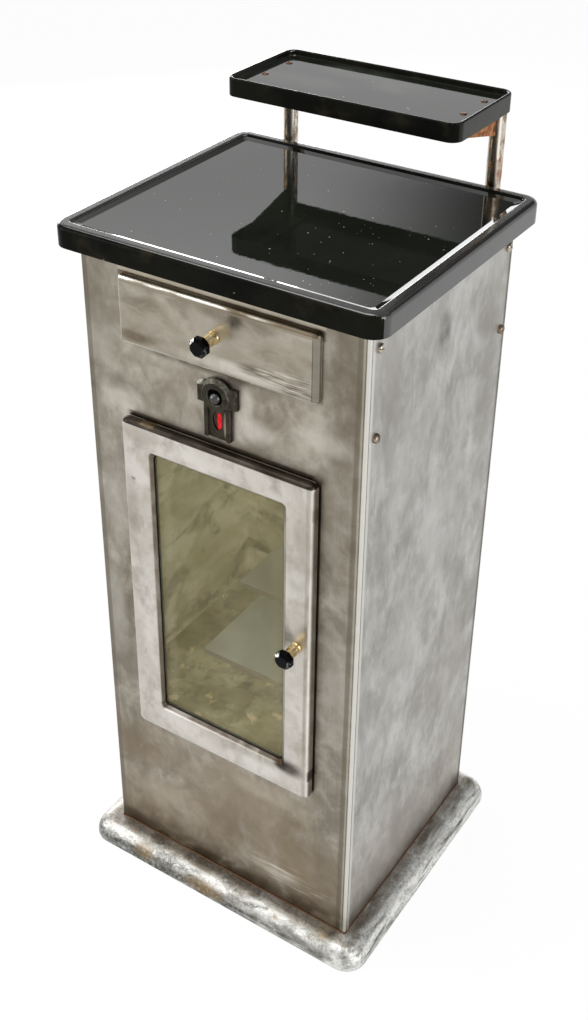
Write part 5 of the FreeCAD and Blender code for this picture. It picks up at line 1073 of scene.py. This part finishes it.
def move_outline(old, new, face):
    """Fit the chosen outline from one rectangle to another: left, right, foot and head."""
    x, z = (old[0] + old[1]) / 2, (old[2] + old[3]) / 2
    bpy.ops.transform.resize(value=((new[1] - new[0]) / (old[1] - old[0]), 1, (new[3] - new[2]) / (old[3] - old[2])),
                             center_override=(x, face, z))
    bpy.ops.transform.translate(value=((new[0] + new[1]) / 2 - x, 0, (new[2] + new[3]) / 2 - z))


def pressed_front(name, low, high, corner, roll, hole=None, inner=None, depth=0):
    """A sheet-metal pan with its edge rolled back, and with a lipped opening if one is given."""
    outline = (low.x, high.x, low.z, high.z)
    left, right, foot, head = hole or outline
    let_go()
    bpy.ops.mesh.primitive_plane_add(size=1, location=((left + right) / 2, low.y, (foot + head) / 2),
                                     rotation=TURNS["-y"])
    bpy.context.object.scale = (right - left, head - foot, 1)
    pan = name_it(name)
    open_up(pan, "VERT")
    bpy.ops.mesh.select_all(action="SELECT")
    bpy.ops.mesh.bevel(offset=corner, segments=8, profile=0.5, affect="VERTICES")
    bpy.ops.mesh.select_mode(type="EDGE")

    def round_the_hole(edge):
        at = middle(edge)
        return bool(hole) and left - 1e-4 < at.x < right + 1e-4 and foot - 1e-4 < at.z < head + 1e-4

    if hole:
        choose("edges", lambda edge: edge.is_boundary)
        draw_out(0)
        move_outline(hole, outline, low.y)
        choose("faces", lambda face: len(face.verts) > 4)
        bpy.ops.mesh.delete(type="FACE")
        choose("edges", lambda edge: edge.is_boundary and round_the_hole(edge))
        draw_out(depth)
        move_outline(hole, inner, low.y)
    choose("edges", lying(1, low.y, lambda edge: edge.is_boundary))
    draw_out(high.y - low.y)
    ease(lying(1, low.y, lambda edge: beside_wall(edge, 1, 0.3) and not round_the_hole(edge)), roll, 8)
    if hole:
        ease(lying(1, low.y, lambda edge: beside_wall(edge, 1, 0.7) and round_the_hole(edge)), 0.0022, 5)
    turn_outwards()
    let_go()
    if max(pan.data.polygons, key=lambda face: face.area).normal.y > 0:
        open_up(pan)
        bpy.ops.mesh.select_all(action="SELECT")
        bpy.ops.mesh.flip_normals()
    treat(pan, "SOLIDIFY", thickness=0.0012, offset=-1, use_even_offset=True)
    rub_smooth(pan)
    return pan


def make_door():
    low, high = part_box("door_frame")
    pan = pressed_front("door_pan", low, high, 0.0055, 0.006, (-0.09, 0.0935, low.z + 0.0375, high.z - 0.033),
                        (-0.086, 0.0855, low.z + 0.0415, high.z - 0.040), 0.0075)
    fit(pan, "door", "door_steel", ["door_frame"], finish_door_steel())


def make_drawer_front():
    pan = pressed_front("drawer_pan", *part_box("drawer_front"), 0.006, 0.005)
    fit(pan, "drawer", "door_steel", ["drawer_front"], finish_drawer_steel())


# Knobs

def make_knob(owner):
    """Eight-sided black glass knob with a cut table, and its turned brass neck."""
    low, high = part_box(owner + "_knob")
    centre = (low + high) / 2
    half_side = math.pi / 8
    let_go()
    bpy.ops.mesh.primitive_cylinder_add(vertices=8, radius=(high.x - low.x) / 2 / math.cos(half_side),
                                        depth=high.y - low.y, location=(0, 0, 0), rotation=(0, 0, half_side))
    knob = name_it(owner + "_glass_knob")
    knob.rotation_euler = TURNS["-y"]
    knob.location = centre
    settle(knob)
    open_up(knob)
    ease(lying(1, low.y), 0.0034, 1)
    ease(lying(1, high.y), 0.0026, 1)
    bpy.ops.mesh.select_all(action="SELECT")
    soften(0.00025, 2)
    rub_smooth(knob, 12)
    fit(knob, owner, "knob_glass", [owner + "_knob"], KNOB_GLASS)
    low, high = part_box(owner + "_knob_neck")
    reach = high.y - low.y
    wide = (high.z - low.z) / 2
    waist, front = 0.0062, 0.0068
    neck = turned(owner + "_brass_neck", (centre.x, high.y, centre.z), "-y", [
        (0, wide - 0.0006), (0.0006, wide), (0.0018, wide), (0.0024, wide - 0.0005), (0.0032, wide - 0.0006),
        (reach * 0.5, 0.0066), (reach - 0.0036, waist), (reach - 0.003, 0.0066), (reach - 0.0022, front),
        (reach - 0.0008, front), (reach, front - 0.0006)], 48)
    rub_smooth(neck, 40)
    fit(neck, owner, "brass", [owner + "_knob_neck"], BRASS)


# Posts, screws, switch and lamp

def make_post(side):
    low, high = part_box(side + "_post")
    centre = (low + high) / 2
    wide = (high.y - low.y) / 2
    tall = high.z - low.z
    wall = 0.0015
    post = turned(side + "_tube", (centre.x, centre.y, low.z), "+z", [
        (0.03, wide - wall), (0, wide - wall), (0, wide - 0.0004), (0.0004, wide), (tall - 0.0006, wide),
        (tall, wide - 0.0006)], 64)
    rub_smooth(post, 40)
    fit(post, "cabinet", "worn_chrome", [side + "_post"], CHROME)


def screw(name, spot, way, inward, radius, height, slot, turn, shank):
    """A pan head with a slot across it, and its shank."""
    head = turned(name, (0, 0, 0), "+z", [
        (0, radius), (height * 0.45, radius), (height * 0.75, radius * 0.9), (height * 0.93, radius * 0.7),
        (height, radius * 0.35)], 32)
    groove = block(name + "_groove", (-radius * 1.2, -slot / 2, height * 0.5), (radius * 1.2, slot / 2, height * 2))
    groove.rotation_euler = (0, 0, math.radians(turn))
    settle(groove)
    treat(head, "BOOLEAN", operation="DIFFERENCE", solver="EXACT", object=groove)
    bpy.data.objects.remove(groove)
    head.rotation_euler = TURNS[way]
    head.location = spot
    settle(head)
    rub_smooth(head, 40)
    return [head, turned(name + "_shank", spot, inward, shank, 24)]


def make_side_screws():
    low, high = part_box("side_screws")
    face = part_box("right_side_panel")[1].x
    wide = 0.0054
    shank = [(0, 0.0025), (0.0115, 0.0025), (0.012, 0.002)]
    parts = []
    for side, way, inward in ((1, "+x", "-x"), (-1, "-x", "+x")):
        for y in (low.y + wide, high.y - wide):
            for z in (low.z + wide, high.z - wide):
                parts += screw(f"side_screw_{len(parts)}", (face * side, y, z), way, inward, wide, 0.0042, 0.0015,
                               37 * len(parts), shank)
    fit(join("side_screw_heads", parts), "cabinet", "screw_steel", ["side_screws"], SCREW)


def make_shelf_screws():
    low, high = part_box("shelf_screws")
    wide = 0.004
    shank = [(0, 0.002), (0.0106, 0.002), (0.011, 0.0016)]
    parts = []
    for x in (low.x + wide, high.x - wide):
        for y in (low.y + wide, high.y - wide):
            parts += screw(f"shelf_screw_{len(parts)}", (x, y, high.z - 0.0004), "+z", "-z", wide, 0.0014, 0.001,
                           51 * len(parts), shank)
    fit(join("shelf_screw_heads", parts), "cabinet", "screw_steel", ["shelf_screws"], RUSTY_SCREW)


def from_cad(node, name, width):
    """The CAD's own shape, welded up and eased along every edge."""
    thing = nodes[node].copy()
    thing.data = nodes[node].data.copy()
    for key in list(thing.keys()):
        del thing[key]
    bpy.context.scene.collection.objects.link(thing)
    thing.parent = None
    thing.name = name
    open_up(thing, "VERT")
    bpy.ops.mesh.select_all(action="SELECT")
    bpy.ops.mesh.remove_doubles(threshold=1e-5)
    bpy.ops.mesh.dissolve_limited(angle_limit=math.radians(2))
    treat(thing, "BEVEL", width=width, segments=3, limit_method="ANGLE", angle_limit=math.radians(28))
    rub_smooth(thing, 40)
    return thing


def make_lever():
    """Ball-ended toggle, hung on its cross pin and drooping forward."""
    pivot = next(joint for joint in frame["joints"] if joint["name"] == "switch_toggle")["pos_m"]
    stem, barrel = 0.0032, 0.0028
    let_go()
    bpy.ops.mesh.primitive_uv_sphere_add(segments=40, ring_count=24, radius=0.007, location=(0, -0.013, 0),
                                         rotation=TURNS["-y"])
    lever = join("toggle_knob", [
        name_it("toggle_ball"),
        turned("toggle_stem", (0, 0, 0), "-y", [(0, 0.0026), (0.004, 0.0026), (0.0045, stem), (0.012, stem)], 32),
        turned("toggle_barrel", (-0.004, 0, 0), "+x", [(0, 0.0024), (0.0003, barrel), (0.0077, barrel),
                                                       (0.008, 0.0024)], 32)])
    lever.rotation_euler = (math.radians(8), 0, 0)
    lever.location = pivot
    settle(lever)
    rub_smooth(lever, 40)
    fit(lever, "switch_lever", "toggle_metal", ["toggle_lever"], finish_lever())


def make_joint_rust():
    """A rough bead of rust where the body stands on the moulding."""
    low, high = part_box("front_panel")
    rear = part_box("back_panel")[1].y
    proud, tall = 0.0009, 0.0013
    inner = proud - 0.0003
    ring = block("joint_rust", (low.x - proud, low.y - proud, low.z), (high.x + proud, rear + proud, low.z + tall))
    open_up(ring)
    ease(upright, 0.0028, 4)
    choose("faces", lambda face: facing_up(face) or facing_down(face))
    inset(0.0012)
    bpy.ops.mesh.delete(type="FACE")
    bpy.ops.mesh.select_mode(type="EDGE")
    choose("edges", lambda edge: edge.is_boundary)
    bpy.ops.mesh.bridge_edge_loops()
    ease(lying(2, low.z + tall, lambda edge: abs(middle(edge).x) > high.x + inner
               or abs(middle(edge).y) > rear + inner or middle(edge).y < low.y - inner), 0.0006, 3)
    turn_outwards()
    rub_smooth(ring)
    fit(ring, "cabinet", "rusted_steel", [], finish_plain("joint_bead", (100, 66, 36), 0.8))


make_moulding()
make_top()
make_shelf()
make_door()
make_drawer_front()
make_knob("door")
make_knob("drawer")
make_post("left")
make_post("right")
make_side_screws()
make_shelf_screws()
fit(from_cad("switch_escutcheon", "switch_plate", 0.0006), "cabinet", "dark_casting", ["switch_escutcheon"],
    finish_plate())
make_lever()
fit(from_cad("pilot_jewel", "red_jewel", 0.0003), "cabinet", "jewel_glass", ["pilot_jewel"], finish_jewel())
make_joint_rust()


# Studio

def make_floor():
    """White sweep: it keeps the cabinet's shadow, and shows white to the camera and in reflections."""
    let_go()
    bpy.ops.mesh.primitive_circle_add(vertices=64, radius=14, fill_type="NGON", location=(0, 0, 0))
    floor = name_it("studio_floor")
    pale = Finish("studio_floor", (240, 240, 240), Roughness=0.9, Specular_IOR_Level=0.0)
    pale.done()
    seen = put(pale.tree, "ShaderNodeLightPath").outputs
    looked_at = sum_up(pale.tree, "ADD", seen["Is Camera Ray"], seen["Is Glossy Ray"])
    looked_at = sum_up(pale.tree, "ADD", looked_at, seen["Is Transmission Ray"], clamp=True)
    white = put(pale.tree, "ShaderNodeEmission", Strength=1.0)
    both = put(pale.tree, "ShaderNodeMixShader", Fac=pale.times(looked_at, 0.95))
    feed(pale.tree, pale.shader.outputs[0], both.inputs[1])
    feed(pale.tree, white.outputs[0], both.inputs[2])
    feed(pale.tree, both.outputs[0], pale.tree.nodes["Material Output"].inputs["Surface"])
    give(floor, pale.material)


def add_lamp(name, place, aim, size, power):
    let_go()
    bpy.ops.object.light_add(type="AREA", location=place)
    lamp = bpy.context.object
    lamp.name = name
    lamp.data.shape = "RECTANGLE"
    lamp.data.size, lamp.data.size_y = size
    lamp.data.energy = power
    lamp.rotation_mode = "QUATERNION"
    lamp.rotation_quaternion = (Vector(place) - Vector(aim)).to_track_quat("Z", "Y")
    lamp.visible_camera = False


def make_air():
    """The room round the cabinet: white to the camera, with a glow, a dim patch and a strip behind it."""
    world = bpy.data.worlds.new("studio_air")
    bpy.context.scene.world = world
    world.use_nodes = True
    tree = world.node_tree
    look = put(tree, "ShaderNodeTexCoord").outputs["Generated"]
    across, ahead, height = put(tree, "ShaderNodeSeparateXYZ", Vector=look).outputs
    behind = ramp(tree, ahead, 0.2, 0.4)
    bright = ramp(tree, height, 0.1, 0.9, 0.86, 0.42)
    glow = sum_up(tree, "MULTIPLY", ramp(tree, height, 0.34, 0.47), ramp(tree, height, 0.72, 0.52),
                  ramp(tree, across, -0.38, -0.55), behind, 0.5)
    dim = sum_up(tree, "MULTIPLY", ramp(tree, height, 0.33, 0.37), ramp(tree, across, -0.50, -0.36), behind,
                 ramp(tree, height, 0.7, 0.5), 0.92)
    strip = sum_up(tree, "MULTIPLY", ramp(tree, height, 0.02, 0.06), ramp(tree, height, 0.280, 0.262), behind,
                   ramp(tree, across, -0.2, -0.4), 2.4)
    bright = sum_up(tree, "MULTIPLY", sum_up(tree, "ADD", bright, glow), sum_up(tree, "SUBTRACT", 1.0, dim))
    bright = sum_up(tree, "ADD", bright, strip)
    seen = put(tree, "ShaderNodeLightPath").outputs["Is Camera Ray"]
    white = sum_up(tree, "MULTIPLY", sum_up(tree, "SUBTRACT", 1.0, bright), seen)
    bright = sum_up(tree, "ADD", bright, white)
    tint = put(tree, "ShaderNodeCombineColor")
    for socket in tint.inputs:
        feed(tree, bright, socket)
    sky = tree.nodes["Background"]
    feed(tree, tint.outputs[0], sky.inputs["Color"])
    sky.inputs["Strength"].default_value = 1.0


def make_camera():
    """The photograph's own view: from the front right, above the cabinet, looking down."""
    drop, turn = math.radians(31.536), math.radians(33.886)
    let_go()
    bpy.ops.object.camera_add(location=(0.7300, -1.1527, 1.4699), rotation=(RIGHT_ANGLE - drop, 0, turn))
    camera = bpy.context.object
    camera.name = "photo_camera"
    for name, value in (("sensor_width", 36), ("lens", 48.40), ("shift_x", 0.02666), ("shift_y", -0.07997),
                        ("clip_end", 60)):
        setattr(camera.data, name, value)
    bpy.context.scene.camera = camera


make_floor()
add_lamp("soft_overhead", (-0.6, -0.6, 3.2), (0, 0, 0.6), (2.4, 2.4), 60)
add_lamp("soft_left", (-2.4, -1.8, 1.6), (0, 0, 0.5), (1.6, 1.6), 40)
add_lamp("soft_right", (2.6, -0.6, 1.4), (0, 0, 0.5), (1.4, 1.8), 30)
add_lamp("low_back", (-2.6, 2.2, 1.0), (0, 0, 0.8), (2.6, 0.8), 60)
make_air()
make_camera()
bpy.context.scene.view_settings.view_transform = "Standard"
let_go()
